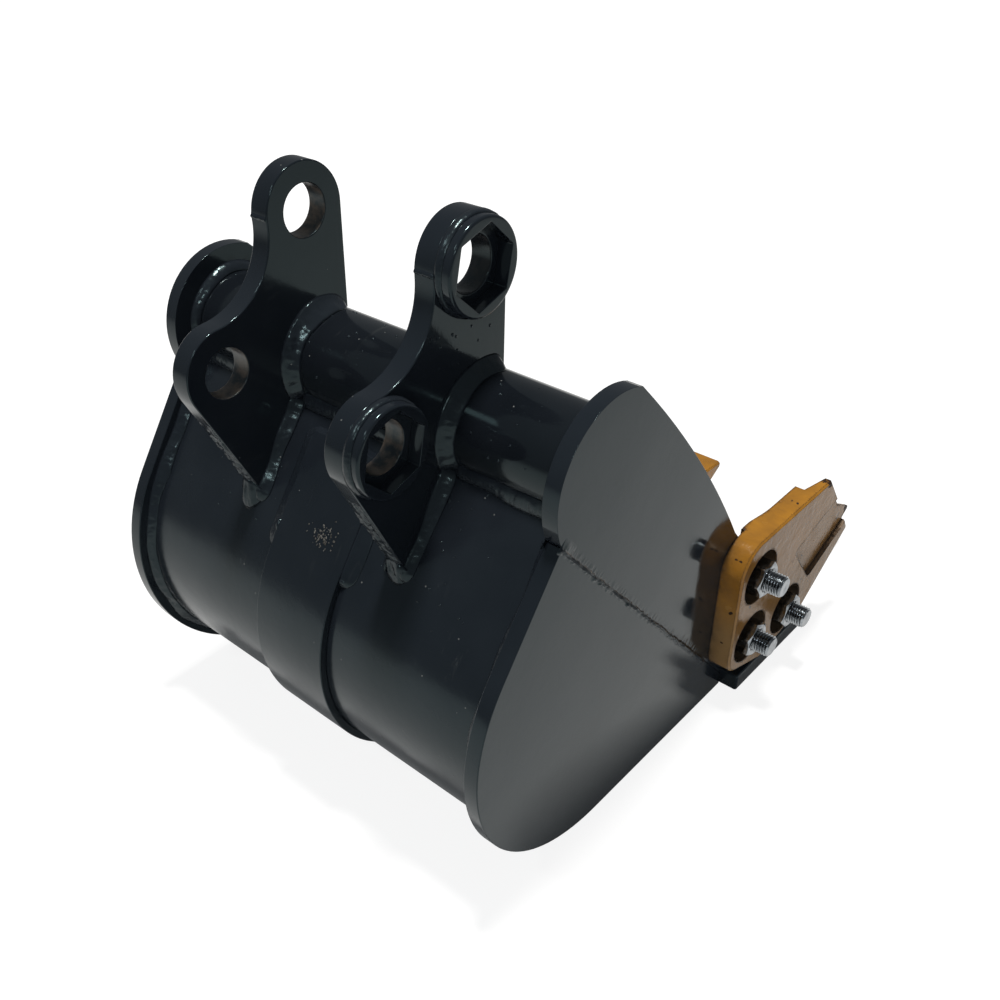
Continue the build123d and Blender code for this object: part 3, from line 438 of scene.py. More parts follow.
# %% Mix the black enamel
BLACK_DEEP = (0.0070, 0.0092, 0.0128)
BLACK_PALE = (0.0130, 0.0162, 0.0210)
DUST = (0.20, 0.20, 0.19)
WORN_STEEL = (0.085, 0.066, 0.052)
FILM_IOR = 1.44
FILM_SHEEN = (0.54, 0.75, 0.76, 1.0)


def black_enamel(name, peel_scale, peel_depth, wave_depth, gloss, bores=False, painted_shade_scale=1.0, dirt=None):
    """Black enamel. Gloss is its least roughness, a scale below 1 darkens its colour as painted shade, dirt
    gives dull spots.
    """
    made, tree, shader = new_finish(name)
    where = place(tree)
    clouds = noise(tree, where, 7.0, 4.0, 0.6)
    deep, pale = [tuple(painted_shade_scale * part for part in black) for black in (BLACK_DEEP, BLACK_PALE)]
    colour = tint(tree, spread(tree, clouds, 0.35, 0.7), deep, pale)
    dust = specks(tree, where, 210.0, 0.10, 0.05)
    rub = scuffs(tree, where, (1.0, 0.12, 0.3), 160.0, 0.60, 0.72)
    colour = tint(tree, times(tree, dust, 0.6), colour, DUST)
    colour = tint(tree, times(tree, rub, 0.10), colour, DUST)
    rough = spread(tree, noise(tree, where, 23.0, 3.0), 0.35, 0.7, gloss, gloss + 0.10)
    rough = plus(tree, rough, times(tree, rub, 0.25))
    rough = plus(tree, rough, times(tree, dust, 0.4))
    if bores:
        worn = bore_wear(tree, where)
        grease = spread(tree, noise(tree, where, 90.0, 4.0, 0.7), 0.38, 0.62)
        colour = tint(tree, times(tree, worn, grease), colour, WORN_STEEL)
        rough = plus(tree, rough, times(tree, worn, 0.22))
    if dirt is not None:
        caked = dirt(tree, where)
        rough = plus(tree, rough, times(tree, caked, 0.4))
        tree.links.new(spread(tree, caked, 0.0, 1.0, 0.5, 0.08), shader.inputs["Specular IOR Level"])
    waves = swell(tree, noise(tree, where, 13.0, 1.0), wave_depth)
    waves = swell(tree, noise(tree, where, 62.0, 4.0, 0.62), wave_depth * 0.16, 1.0, waves)
    peel = swell(tree, noise(tree, where, peel_scale, 2.0), peel_depth, 1.0, waves)
    join(tree, shader, colour, rough, peel)
    shader.inputs["IOR"].default_value = FILM_IOR
    shader.inputs["Specular Tint"].default_value = FILM_SHEEN
    return made


print("least light off the film at a right angle:", round(((FILM_IOR - 1) / (FILM_IOR + 1)) ** 2, 3))

# %% [markdown]
# ## Spraying the black parts
# One tin of paint looks different on each ground. It lies flat on the cut
# plates and the tube, wavy on the rolled shell, grainy on the cast adapters and
# rippled on the welds. So the recipe is the same, and only its bumps and its
# gloss change, except on the tube, whose colour is darkened as painted shade.

# %% Spray the black parts
plate_enamel = black_enamel("gloss_black_enamel", 330.0, 0.000014, 0.0005, 0.07, bores=True)
rolled_enamel = black_enamel("black_enamel_on_rolled_plate", 240.0, 0.00002, 0.0010, 0.15)
cast_enamel = black_enamel("black_enamel_on_casting", 260.0, 0.00016, 0.0003, 0.16)
weld_enamel = black_enamel("black_enamel_on_weld", 800.0, 0.00007, 0.0002, 0.16)
# The tube gets the same enamel with its colour darkened to 0.6: painted shade.
shaded_tube_enamel = black_enamel("gloss_black_enamel_with_painted_shade_on_tube", 330.0, 0.000014, 0.0005, 0.07, painted_shade_scale=0.6)
side_plates = [f"{side}_{part}_side_plate" for side in ("left", "right") for part in ("upper", "lower")]
ears = ["right_ear", "left_ear"]
bosses = ["dipper_pin_hex_boss", "link_pin_hex_boss"]
adapters = [f"{side}_tooth_adapter" for side in ("left", "centre", "right")]
dress(["torque_tube"], shaded_tube_enamel)
dress(["cutting_edge", *ears, *bosses, *side_plates], plate_enamel)
dress(["wrapper_shell", "wear_strap"], rolled_enamel)
dress(adapters, cast_enamel)
dress([n for n in solids if n.endswith("welds") or n.endswith("weld")], weld_enamel)
print("black finishes:", [finish.name for finish in (plate_enamel, rolled_enamel, cast_enamel, weld_enamel)])

# %% [markdown]
# ## Mustard enamel on the castings
# The side cutters and the tooth points are rough castings, painted once with
# mustard enamel and chipped down to dark metal at the corners. The outer faces
# of the cutters are darkened as painted shade, their low ends are browner, and
# the pockets are darkened as painted shade. The pockets are found by the washers
# in them. Those are separate solids of one CAD node, so the first step is to
# tell them apart.

# %% Find the separate solids inside one node
SAME_POINT = 0.00001


def islands_of(name):
    """Boxes of the separate solids in one CAD node, as (low, high)."""
    bm = bmesh.new()
    bm.from_mesh(solids[name].data)
    bmesh.ops.remove_doubles(bm, verts=bm.verts, dist=SAME_POINT)
    left = set(bm.verts)
    boxes = []
    while left:
        seed = left.pop()
        group, edge = {seed}, [seed]
        while edge:
            for link in edge.pop().link_edges:
                for vert in link.verts:
                    if vert in left:
                        left.discard(vert)
                        group.add(vert)
                        edge.append(vert)
        corners = [[f(v.co[k] for v in group) for k in range(3)] for f in (min, max)]
        boxes.append((Vector(corners[0]), Vector(corners[1])))
    bm.free()
    return sorted(boxes, key=lambda pair: (pair[0].z, pair[0].y))


WASHERS = islands_of("right_cutter_washers")
BOLT_AXES = [((low.y + high.y) / 2, (low.z + high.z) / 2) for low, high in WASHERS]
print("bolt axes:", [tuple(round(v, 4) for v in axis) for axis in BOLT_AXES])

# %% [markdown]
# ## Chips
# Paint comes off where stones strike: at edges, at corners, and most of all at
# the two front corners of each cutter. An image could be painted by hand, but it
# would fit one shape only. Blender can find corners by comparing the true
# surface direction with one that is rounded over a few millimetres, and noise
# breaks that up into chips, which stay on the edges when the casting changes.

# %% Chips in the paint
FRONT_CORNERS = ((0.2555, -0.2160), (0.3040, -0.2660))
EDGE_REACH = 0.0026
CORNER_REACH = 0.0050


def corner_share(tree, reach):
    """Near 0 on flat ground and higher towards corners and edges."""
    rounded = put(tree, "ShaderNodeBevel", {"Radius": reach}, samples=RAYS).outputs["Normal"]
    true_way = put(tree, "ShaderNodeNewGeometry").outputs["Normal"]
    match = put(tree, "ShaderNodeVectorMath", {0: rounded, 1: true_way}, operation="DOT_PRODUCT")
    return calc(tree, "SUBTRACT", 1.0, match.outputs["Value"])


def chip_share(tree, where, ragged, start, front_corners):
    """1 where the paint is off: in ragged spots, at edges and round struck corners."""
    edges = spread(tree, corner_share(tree, EDGE_REACH), 0.01, 0.15)
    struck = plus(tree, times(tree, edges, 0.40), ragged)
    for corner in front_corners:
        struck = plus(tree, struck, spread(tree, off_axis(tree, where, corner), 0.001, 0.0085, 0.42, 0.0))
    chips = spread(tree, struck, start, start + 0.03)
    sharp = spread(tree, corner_share(tree, CORNER_REACH), 0.09, 0.13)
    knocked = times(tree, sharp, spread(tree, noise(tree, where, 80.0, 3.0), 0.545, 0.575))
    return calc(tree, "MAXIMUM", chips, knocked)


print("struck corners:", len(FRONT_CORNERS))

# %% [markdown]
# ## Painted shade and a browner low end
# The outer faces of the cutters, the walls of the recess and the pockets are
# darkened as painted shade, and the low end is browner. Each mark is placed by
# simple measures: the height of a point, the way its face looks, its distance
# from a bolt, and how much open space lies in front of it.

# %% Paint shade on the side cutters and brown their low end
# The browner colour towards the low end of the cutters.
MUSTARD_LOW = (0.240, 0.150, 0.068)
# Painted shade on the outer faces of the cutters.
OUTER_FACE_PAINTED_SHADE = (0.145, 0.066, 0.011)
# Painted shade on the walls of the recess.
RECESS_PAINTED_SHADE = (0.130, 0.088, 0.060)
# Painted shade in the pockets round the nuts and in other hollows.
HOLLOW_PAINTED_SHADE = (0.040, 0.030, 0.022)
POCKET_REACH = 0.0208
CUTTER_LOW, CUTTER_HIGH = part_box("right_side_cutter")
LOW_END = CUTTER_LOW.z + 0.050, CUTTER_LOW.z + 0.092
RECESS_START = 0.222, 0.232
RECESS_REACH = 0.020
RECESS_SKIN = CUTTER_HIGH.x - 0.0045
POCKET_SKIN = CUTTER_HIGH.x - 0.0009


def low_share(tree, where):
    """1 at the low end of the cutters and 0 higher up."""
    return spread(tree, split(tree, where)["Z"], *LOW_END, 1.0, 0.0)


def brown_and_shade_cutter(tree, where, colour):
    """Brown the low end, and paint shade on the outer face and on the walls of its recess."""
    colour = tint(tree, times(tree, low_share(tree, where), 0.9), colour, MUSTARD_LOW)
    facing = split(tree, put(tree, "ShaderNodeNewGeometry").outputs["Normal"])["X"]
    # Faces that look along X take on up to 0.7 of the outer-face colour: painted shade.
    outer = spread(tree, size_of(tree, facing), 0.75, 0.95, 0.0, 0.70)
    colour = tint(tree, outer, colour, OUTER_FACE_PAINTED_SHADE)
    spot = split(tree, where)
    skin = calc(tree, "GREATER_THAN", size_of(tree, spot["X"]), RECESS_SKIN)
    # Painted shade: the recess near the outer face darkens where little open space lies in front of it.
    hollow = spread(tree, openness(tree, RECESS_REACH), 0.72, 0.95, 0.85, 0.0)
    recess = times(tree, times(tree, hollow, spread(tree, spot["Y"], *RECESS_START)), skin)
    return tint(tree, recess, colour, RECESS_PAINTED_SHADE)


def shade_pockets(tree, where, colour):
    """Painted shade in the pockets round the nuts, below the outer face."""
    inside = calc(tree, "LESS_THAN", size_of(tree, split(tree, where)["X"]), POCKET_SKIN)
    # Painted shade: everything round a bolt axis and below the outer face darkens.
    dirt = times(tree, near_axes(tree, where, BOLT_AXES, POCKET_REACH), inside)
    return tint(tree, times(tree, dirt, 0.85), colour, HOLLOW_PAINTED_SHADE)


# Below this height the cutters turn browner.
print("stained below", round(LOW_END[1], 4))

# %% [markdown]
# ## The layers together
# The layers are laid in this order: paint first, then the browner low end, the
# painted shade on the outer faces and in the recess, and stains, then chips, and
# the painted shade in the pockets and hollows last of all. A chip is also a small
# step down to the metal, rough and without shine.

# %% Lay the colours of the mustard enamel
MUSTARD = (0.36, 0.160, 0.018)
MUSTARD_DULL = (0.215, 0.098, 0.018)
CHIPPED = (0.030, 0.018, 0.013)
STAIN = (0.085, 0.036, 0.020)
# How far the painted shade in hollows reaches.
HOLLOW_SHADE_REACH = 0.011


def mustard_colours(tree, where, chip_start, cutter):
    """The colour of the worn paint with painted shade in its hollows, and 1 where it is chipped."""
    clouds = noise(tree, where, 24.0, 5.0, 0.6, 0.5)
    colour = tint(tree, spread(tree, clouds, 0.40, 0.66), MUSTARD, MUSTARD_DULL)
    if cutter:
        colour = brown_and_shade_cutter(tree, where, colour)
    blotches = noise(tree, where, 62.0, 6.0, 0.72, 1.2)
    colour = tint(tree, spread(tree, blotches, 0.60, 0.72, 0.0, 0.85), colour, STAIN)
    spots = spread(tree, noise(tree, where, 118.0, 1.5), 0.71, 0.722)
    colour = tint(tree, spots, colour, CHIPPED)
    ragged = noise(tree, where, 150.0, 5.0, 0.65)
    chips = chip_share(tree, where, ragged, chip_start, FRONT_CORNERS if cutter else ())
    colour = tint(tree, chips, colour, CHIPPED)
    if cutter:
        colour = shade_pockets(tree, where, colour)
    # Painted shade in every hollow of the castings, broken up by noise.
    closed_in = spread(tree, openness(tree, HOLLOW_SHADE_REACH), 0.35, 0.92, 1.0, 0.0)
    hollow_shade = times(tree, closed_in, spread(tree, ragged, 0.35, 0.6, 0.45, 0.9))
    return tint(tree, hollow_shade, colour, HOLLOW_PAINTED_SHADE), chips


# Painted shade darkens hollows within this reach.
print("grime gathers within", HOLLOW_SHADE_REACH, "m of a hollow")

# %% Mix the mustard enamel
CHIP_DEPTH = 0.00030
CAST_IOR = 1.40
CAST_SHEEN = (1.0, 0.86, 0.70, 1.0)


def mustard_enamel(name, chip_start, grain_depth, cutter=False):
    """Mustard enamel. Fewer chips with a higher start, grain in metres."""
    made, tree, shader = new_finish(name)
    where = place(tree)
    colour, chips = mustard_colours(tree, where, chip_start, cutter)
    rough = spread(tree, noise(tree, where, 60.0, 3.0), 0.3, 0.7, 0.04, 0.32)
    rough = plus(tree, rough, times(tree, chips, 0.3))
    shine = spread(tree, chips, 0.0, 1.0, 0.5, 0.12)
    if cutter:
        shine = times(tree, shine, spread(tree, low_share(tree, where), 0.0, 1.0, 1.0, 0.60))
    tree.links.new(shine, shader.inputs["Specular IOR Level"])
    grain = swell(tree, noise(tree, where, 420.0, 3.0, 0.6), grain_depth)
    waves = swell(tree, noise(tree, where, 60.0, 2.0), grain_depth * 6, 1.0, grain)
    runs = swell(tree, noise(tree, where, 190.0, 3.0), grain_depth * 3, 1.0, waves)
    dents = swell(tree, calc(tree, "SUBTRACT", 1.0, chips), CHIP_DEPTH, 1.0, runs)
    join(tree, shader, colour, rough, dents)
    shader.inputs["IOR"].default_value = CAST_IOR
    shader.inputs["Specular Tint"].default_value = CAST_SHEEN
    return made


print("a chip is", CHIP_DEPTH, "m deep")

# %% Paint the castings
cutter_enamel = mustard_enamel("mustard_enamel_on_casting", 0.75, 0.00010, cutter=True)
tooth_enamel = mustard_enamel("mustard_enamel_on_tooth", 0.74, 0.00014)
cutters = ["right_side_cutter", "left_side_cutter"]
points = [f"{side}_tooth_point" for side in ("left", "centre", "right")]
dress(cutters, cutter_enamel)
dress(points, tooth_enamel)
print("mustard finishes:", cutter_enamel.name, tooth_enamel.name)

# %% [markdown]
# ## Zinc plate and bare steel
# The cutter bolts are bright zinc plated, which is a thin crystalline metal skin
# over rolled steel: bright, slightly blue, and a little uneven. Every metal is
# darkened in its grooves as painted shade. The washers are duller. The tooth pins
# are plain ground bar with a brown bloom of rust, and one splash of weld spatter is bare.

# %% Mix the metals
# Painted shade in the grooves and hollows of every metal.
GROOVE_PAINTED_SHADE = (0.020, 0.021, 0.022)
GROOVE_REACH = 0.0012


def metal(name, bright, dull, low_rough, high_rough, grain_scale, grain_depth):
    """Metal of two tones in a fine bloom, darkened in the roots of its threads and other hollows as painted
    shade.
    """
    made, tree, shader = new_finish(name)
    where = place(tree)
    bloom = noise(tree, where, 170.0, 4.0, 0.65)
    colour = tint(tree, spread(tree, bloom, 0.40, 0.68), bright, dull)
    rough = spread(tree, noise(tree, where, 320.0, 2.0), 0.35, 0.7, low_rough, high_rough)
    grain = swell(tree, noise(tree, where, grain_scale, 3.0), grain_depth)
    # Painted shade where little open space lies in front of the surface.
    groove_shade = spread(tree, openness(tree, GROOVE_REACH), 0.45, 0.85, 0.9, 0.0)
    join(tree, shader, tint(tree, groove_shade, colour, GROOVE_PAINTED_SHADE), rough, grain)
    shader.inputs["Metallic"].default_value = 1.0
    return made


zinc = metal("bright_zinc_plate", (0.40, 0.43, 0.45), (0.17, 0.19, 0.21), 0.10, 0.26, 500.0, 0.00003)
dull_zinc = metal("dull_zinc_plate", (0.62, 0.66, 0.68), (0.40, 0.42, 0.43), 0.36, 0.52, 420.0, 0.00003)
pin_steel = metal("ground_pin_steel", (0.40, 0.37, 0.34), (0.17, 0.10, 0.06), 0.35, 0.6, 700.0, 0.00006)
spatter_steel = metal(
    "bare_spatter_steel", (0.16, 0.155, 0.14), (0.06, 0.055, 0.05), 0.30, 0.55, 700.0, 0.00006
)
fasteners = [f"{side}_cutter_{kind}" for side in ("left", "right") for kind in ("bolts", "nuts", "washers")]
dress(fasteners, zinc)
dress(["tooth_pins"], pin_steel)
print("metals:", [finish.name for finish in (zinc, dull_zinc, pin_steel, spatter_steel)])

# %% [markdown]
# ## Weld beads
# Every joint of the shell is closed with a hand-laid bead. A bead is a row of
# small overlapping ripples in the corner of two parts, a little wider here and
# narrower there. It could be painted on as a bump, but it would stay flat at the
# edge of the shape, so each bead is swept: a small section is carried along the
# corner, and its size and its face change with every ripple. Angles are measured
# in the side view, in degrees from +Y towards +Z.

# %% The shell's own sizes
PLATE_X, PLATE_OUTER_X = [corner.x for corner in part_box("right_upper_side_plate")]
EAR_INNER_X, EAR_OUTER_X = [corner.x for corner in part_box("right_ear")]
TUBE_LOW, TUBE_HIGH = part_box("torque_tube")
TUBE = Vector((0.0, (TUBE_LOW.y + TUBE_HIGH.y) / 2, (TUBE_LOW.z + TUBE_HIGH.z) / 2))
TUBE_RADIUS = (TUBE_HIGH.z - TUBE_LOW.z) / 2
SHELL_RADIUS = 0.104
SHELL_THICKNESS = 0.008
SHELL_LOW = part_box("wrapper_shell")[0]
HEEL = Vector((0.0, TUBE.y, SHELL_LOW.z + SHELL_RADIUS))
FLANK_ANGLE = 142.8
LIP_LOW, LIP_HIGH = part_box("cutting_edge")
EAR_FRONT_ANGLE = 62.0
EAR_TAIL_RISE = 0.025


def along(angle):
    """Unit direction in the side view, from +Y towards +Z."""
    return Vector((0.0, math.cos(math.radians(angle)), math.sin(math.radians(angle))))


def angle_of(way):
    """The angle of a direction in the side view, from 0 to 360."""
    return math.degrees(math.atan2(way.z, way.y)) % 360


FLANK_OUT = along(FLANK_ANGLE)
FLANK_UP = along(FLANK_ANGLE - 90)
flank_behind = SHELL_RADIUS - (TUBE - HEEL).dot(FLANK_OUT)
flank_drop = math.sqrt(TUBE_RADIUS ** 2 - flank_behind ** 2)
TUBE_SEAM = TUBE + FLANK_OUT * flank_behind - FLANK_UP * flank_drop
print("tube radius", round(TUBE_RADIUS, 5), "flank meets the tube", [round(v, 4) for v in TUBE_SEAM])

# %% [markdown]
# ## Paths
# A bead follows the corner between two parts. Its path is a list of stations,
# each with a point on the corner and the two ways in which its legs run along
# the parts. A curve with a round bevel would be quicker, but its section could
# not lie flat on both parts at once.

# %% Paths for the beads
STEP = 0.0009
RIGHT = Vector((1.0, 0.0, 0.0))


def line_path(start, end, way_a, way_b):
    """Stations along a straight corner: a point and the two ways its legs run."""
    count = max(3, round((end - start).length / STEP))
    return [(start.lerp(end, i / count), way_a, way_b) for i in range(count + 1)]


def arc_path(x, centre, radius, start, end, way_a, inward=False):
    """Stations round an axis along X, from one angle to another."""
    count = max(3, round(abs(math.radians(end - start)) * radius / STEP))
    stations = []
    for i in range(count + 1):
        way = along(start + (end - start) * i / count)
        corner = Vector((x, centre.y, centre.z)) + way * radius
        stations.append((corner, way_a, -way if inward else way))
    return stations


def belt_path(x, radius, way_a, level, floor_end, inward=False):
    """Stations down the flank, round the heel and along the floor of the shell."""
    middle = Vector((x, HEEL.y, HEEL.z))
    side = -1 if inward else 1
    top = middle + FLANK_OUT * radius + FLANK_UP * level
    flank = line_path(top, middle + FLANK_OUT * radius, way_a, FLANK_OUT * side)
    bend = arc_path(x, HEEL, radius, FLANK_ANGLE, 270.0, way_a, inward)
    low = middle + along(270) * radius
    floor_part = line_path(low, Vector((x, floor_end, low.z)), way_a, along(270) * side)
    return flank + bend[1:] + floor_part[1:]


print("stations on one tube ring:", len(arc_path(PLATE_X, TUBE, TUBE_RADIUS, 0, 360, RIGHT)))

# %% [markdown]
# ## Uneven metal
# A welder's hand never moves evenly. A few waves added up give the slow wander
# of a bead's width, and clouds give its lumps. A displacement modifier could
# make lumps too, but it would also lift the border of the bead off the plates.

# %% Uneven hand-laid metal
def wobble(rng, waves=4):
    """A smooth random curve between about -1 and 1."""
    parts = [(rng.uniform(18, 190), rng.uniform(0, math.tau), rng.uniform(0.3, 1.0)) for _ in range(waves)]
    total = sum(height for _, _, height in parts)
    return lambda s: sum(height * math.sin(s * rate + start) for rate, start, height in parts) / total


def lumps(point, size, height):
    """Uneven swelling of hand-laid metal: clouds of a size, a height in metres."""
    return height * clouds_3d.noise(point / size)


print("a cloud's height at one point:", round(lumps(Vector((0.01, 0.02, 0.03)), 0.0055, 0.0004), 6))

# %% [markdown]
# ## The sweep
# At each station a row of points runs from one leg to the other, arched outward.
# The ripples are the frozen rims of the melt, which a welder leaves every few
# millimetres. The first and last points sink a hair into the parts, so that no
# gap shows, and an open bead ends in a small round nose.

# %% Measure and skin a sweep
BLUNT_END = 0.02


def lengths_along(stations):
    """How far along the path each station is."""
    lengths = [0.0]
    for (a, _, _), (b, _, _) in zip(stations, stations[1:]):
        lengths.append(lengths[-1] + (b - a).length)
    return lengths


def end_fade(s, total, leg):
    """1 along a bead, and rounded down to a small nose at its two ends."""
    near_end = min(1.0, min(s, total - s) / leg)
    return math.sqrt(max(BLUNT_END, 1 - (1 - near_end) ** 2))


def skin(bm, loops, closed):
    """Cover loops of points with faces, and cap the ends of an open bead."""
    pairs = list(zip(loops, loops[1:]))
    if closed:
        bmesh.ops.delete(bm, geom=loops[-1], context="VERTS")
        pairs[-1] = (loops[-2], loops[0])
    faces = []
    for first, second in pairs:
        for k in range(len(first)):
            after = (k + 1) % len(first)
            faces.append(bm.faces.new((first[k], first[after], second[after], second[k])))
    if not closed:
        faces.append(bm.faces.new(loops[0][::-1]))
        faces.append(bm.faces.new(loops[-1]))
    bmesh.ops.recalc_face_normals(bm, faces=faces)


print("a bead's end is", round(end_fade(0.0, 1.0, 1.0), 2), "of its full size")

# %% Sweep a rippled bead
RIPPLE_PITCH = 0.0031
FACE_POINTS = 7
SINK = 0.0003
BIG_LUMP = 0.0055
SMALL_LUMP = 0.0021


def bead_mesh(bm, stations, legs, seed, closed=False, bulge=0.12, ripple=0.0003,
              wander=0.16, lump=0.0004, last=1.0):
    """Add one swept bead to a mesh: legs in metres, one along each part. At its
    end the bead is as large as the share last of its start."""
    rng = random.Random(seed)
    width, sway, phase_slip = wobble(rng), wobble(rng), wobble(rng)
    lengths = lengths_along(stations)
    total = lengths[-1]
    loops = []
    for (corner, way_a, way_b), s in zip(stations, lengths):
        fade = 1.0 if closed else end_fade(s, total, max(legs))
        grow = (1 + wander * width(s)) * (1 + (last - 1) * s / total)
        strength = 0.6 + 0.5 * phase_slip(s * 0.6)
        leg_a = legs[0] * fade * (grow + 0.5 * wander * sway(s))
        leg_b = legs[1] * fade * (grow - 0.5 * wander * sway(s))
        out = (way_a * leg_a + way_b * leg_b).normalized()
        loop = []
        for k in range(FACE_POINTS + 1):
            t = k / FACE_POINTS
            arch = math.sin(math.pi * t)
            turn = (s / RIPPLE_PITCH + 0.55 * arch + 0.35 * phase_slip(s)) % 1.0
            crest = (1 - turn) ** 0.6
            lift = arch * (bulge * (leg_a + leg_b) / 2 + ripple * fade * strength * (crest - 0.5))
            point = corner + way_a * (leg_a * (1 - t)) + way_b * (leg_b * t) + out * lift
            uneven = lumps(point, BIG_LUMP, lump) + lumps(point, SMALL_LUMP, lump / 2)
            point = point + out * (fade * arch * uneven)
            if k == 0:
                point = point - way_b * SINK
            if k == FACE_POINTS:
                point = point - way_a * SINK
            loop.append(bm.verts.new(point))
        loop.append(bm.verts.new(corner - (way_a + way_b) * SINK))
        loops.append(loop)
    skin(bm, loops, closed)


print("one ripple every", RIPPLE_PITCH, "m")

# %% [markdown]
# ## Pieces that ride on the bucket
# Each new piece belongs to the bucket's one body, root, and the plain CAD bead
# that it stands in for is hidden. Like beads are made as one piece. The left side
# is the right side mirrored, with other random lumps.


# %% Turn meshes into pieces that ride on the bucket
def finish_piece(name, bm, finish, smooth=True):
    """Turn a mesh under construction into an object that rides on the bucket."""
    mesh = bpy.data.meshes.new(name)
    bm.to_mesh(mesh)
    bm.free()
    for face in mesh.polygons:
        face.use_smooth = smooth
    mesh.materials.append(finish)
    piece = bpy.data.objects.new(name, mesh)
    bpy.context.scene.collection.objects.link(piece)
    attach(piece, "root")
    return piece


def mirrored_path(stations):
    """The same corner on the left side of the bucket."""
    flip = Matrix.Diagonal((-1.0, 1.0, 1.0))
    return [(flip @ p, flip @ a, flip @ b) for p, a, b in stations]


def lay_beads(name, runs, replaced):
    """Lay several beads as one piece. A run is (stations, legs, options)."""
    bm = bmesh.new()
    for number, (stations, legs, options) in enumerate(runs):
        bead_mesh(bm, stations, legs, f"{name} {number}", **options)
    piece = finish_piece(name, bm, weld_enamel)
    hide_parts(*replaced)
    print(name, "runs", len(runs), "faces", len(piece.data.polygons))


print("plain CAD beads to replace:", sum(n.endswith(("weld", "welds")) for n in solids))

# %% [markdown]
# ## Beads at the ears and the tube
# The ears carry the whole digging force into the tube, so their beads are the
# fattest on the bucket and run along the saddle of the tube and on down the
# flank. The tube's two ends are closed with a full ring at each side plate.

# %% Find the rear rim of the ears
LOBE_RADIUS = 0.0275
LINK_PIN = Vector((0.0, *min(PIN_AXES)))


def rear_tangent(tip, centre, radius):
    """Where the straight rear rim leaves the lobe, seen from the tail."""
    to_tip = tip - centre
    turn = math.acos(radius / to_tip.length)
    choices = [centre + Matrix.Rotation(a, 3, "X") @ to_tip.normalized() * radius for a in (turn, -turn)]
    return min(choices, key=lambda point: point.y)


tail_tip = HEEL + FLANK_OUT * SHELL_RADIUS + FLANK_UP * EAR_TAIL_RISE
rim_top = rear_tangent(tail_tip, LINK_PIN, LOBE_RADIUS)
rim_up = (rim_top - tail_tip).normalized()
rim_out = (rim_top - LINK_PIN).normalized()
print("rear rim from", [round(v, 4) for v in tail_tip], "to", [round(v, 4) for v in rim_top])

# %% Lay the ear beads
EAR_LEG = 0.0090
FLANK_LEG = EAR_LEG * 0.9
TAIL_LEGS = (0.0095, 0.0100)
PAST_SEAM = 4.0
PAST_TIP = 0.006
PAST_FACE = 0.003
SADDLE_LOOK = dict(bulge=-0.04, ripple=0.00015, wander=0.26, lump=0.0008)
FLANK_LOOK = dict(SADDLE_LOOK, lump=0.0004, last=0.6)
TAIL_LOOK = dict(bulge=0.06, ripple=0.0004, wander=0.5, lump=0.0024)

seam_angle = angle_of(TUBE_SEAM - TUBE)
tail_foot = HEEL + FLANK_OUT * SHELL_RADIUS + FLANK_UP * (EAR_TAIL_RISE - PAST_TIP)
ear_runs = []
for face_x, way in ((EAR_OUTER_X, RIGHT), (EAR_INNER_X, -RIGHT)):
    at_face = Vector((face_x, 0.0, 0.0))
    saddle = arc_path(face_x, TUBE, TUBE_RADIUS, EAR_FRONT_ANGLE, seam_angle + PAST_SEAM, way)
    flank_line = line_path(at_face + TUBE_SEAM, at_face + tail_foot, way, FLANK_OUT)
    for path, leg, look in ((saddle, EAR_LEG, SADDLE_LOOK), (flank_line, FLANK_LEG, FLANK_LOOK)):
        ear_runs += [(p, (leg, leg), look) for p in (path, mirrored_path(path))]
across_tail = line_path(
    tail_tip + RIGHT * (EAR_INNER_X - PAST_FACE), tail_tip + RIGHT * (EAR_OUTER_X + PAST_FACE),
    -FLANK_UP, rim_up,
)
ear_runs += [(p, TAIL_LEGS, TAIL_LOOK) for p in (across_tail, mirrored_path(across_tail))]
lay_beads("ear_beads", ear_runs, ["ear_welds"])

# %% [markdown]
# ## Rings
# A thin bead runs round each hexagon boss, and a fatter one round each end of
# the tube. Both are the same sweep on a closed circle, so they have no ends.

# %% Lay the rings at the bosses and the ends of the tube
BOSS_RADIUS = 0.026
BOSS_LEGS = (0.0042, 0.0016)
BOSS_LOOK = dict(closed=True, bulge=0.3, ripple=0.0005)
TUBE_BEAD = 0.0058
RING_LOOK = dict(closed=True, bulge=0.16, ripple=0.0005)

boss_runs = []
for pin_y, pin_z in PIN_AXES:
    ring = arc_path(EAR_OUTER_X, Vector((0, pin_y, pin_z)), BOSS_RADIUS, 0.0, 360.0, RIGHT)
    boss_runs.append((ring, BOSS_LEGS, BOSS_LOOK))
lay_beads("boss_beads", boss_runs, ["boss_welds"])

tube_ring = arc_path(PLATE_X, TUBE, TUBE_RADIUS, 0.0, 360.0, -RIGHT)
ring_runs = [(p, (TUBE_BEAD, TUBE_BEAD), RING_LOOK) for p in (tube_ring, mirrored_path(tube_ring))]
lay_beads("tube_end_beads", ring_runs, ["tube_end_welds"])

# %% [markdown]
# ## The seam at the tube
# The top edge of the rolled shell is welded to the tube. The ears stand across
# this seam, so it is laid in three lengths that each stop beside them.

# %% Lay the seam between the tube and the shell
UNDER_EAR = 0.004
UNDER_RING = 0.003
SEAM_LOOK = dict(bulge=0.16)


def seam_path(start_x, end_x):
    """Along the corner of the tube and the flank, from one X to another."""
    return line_path(TUBE_SEAM + RIGHT * start_x, TUBE_SEAM + RIGHT * end_x, -FLANK_UP, up_the_tube)


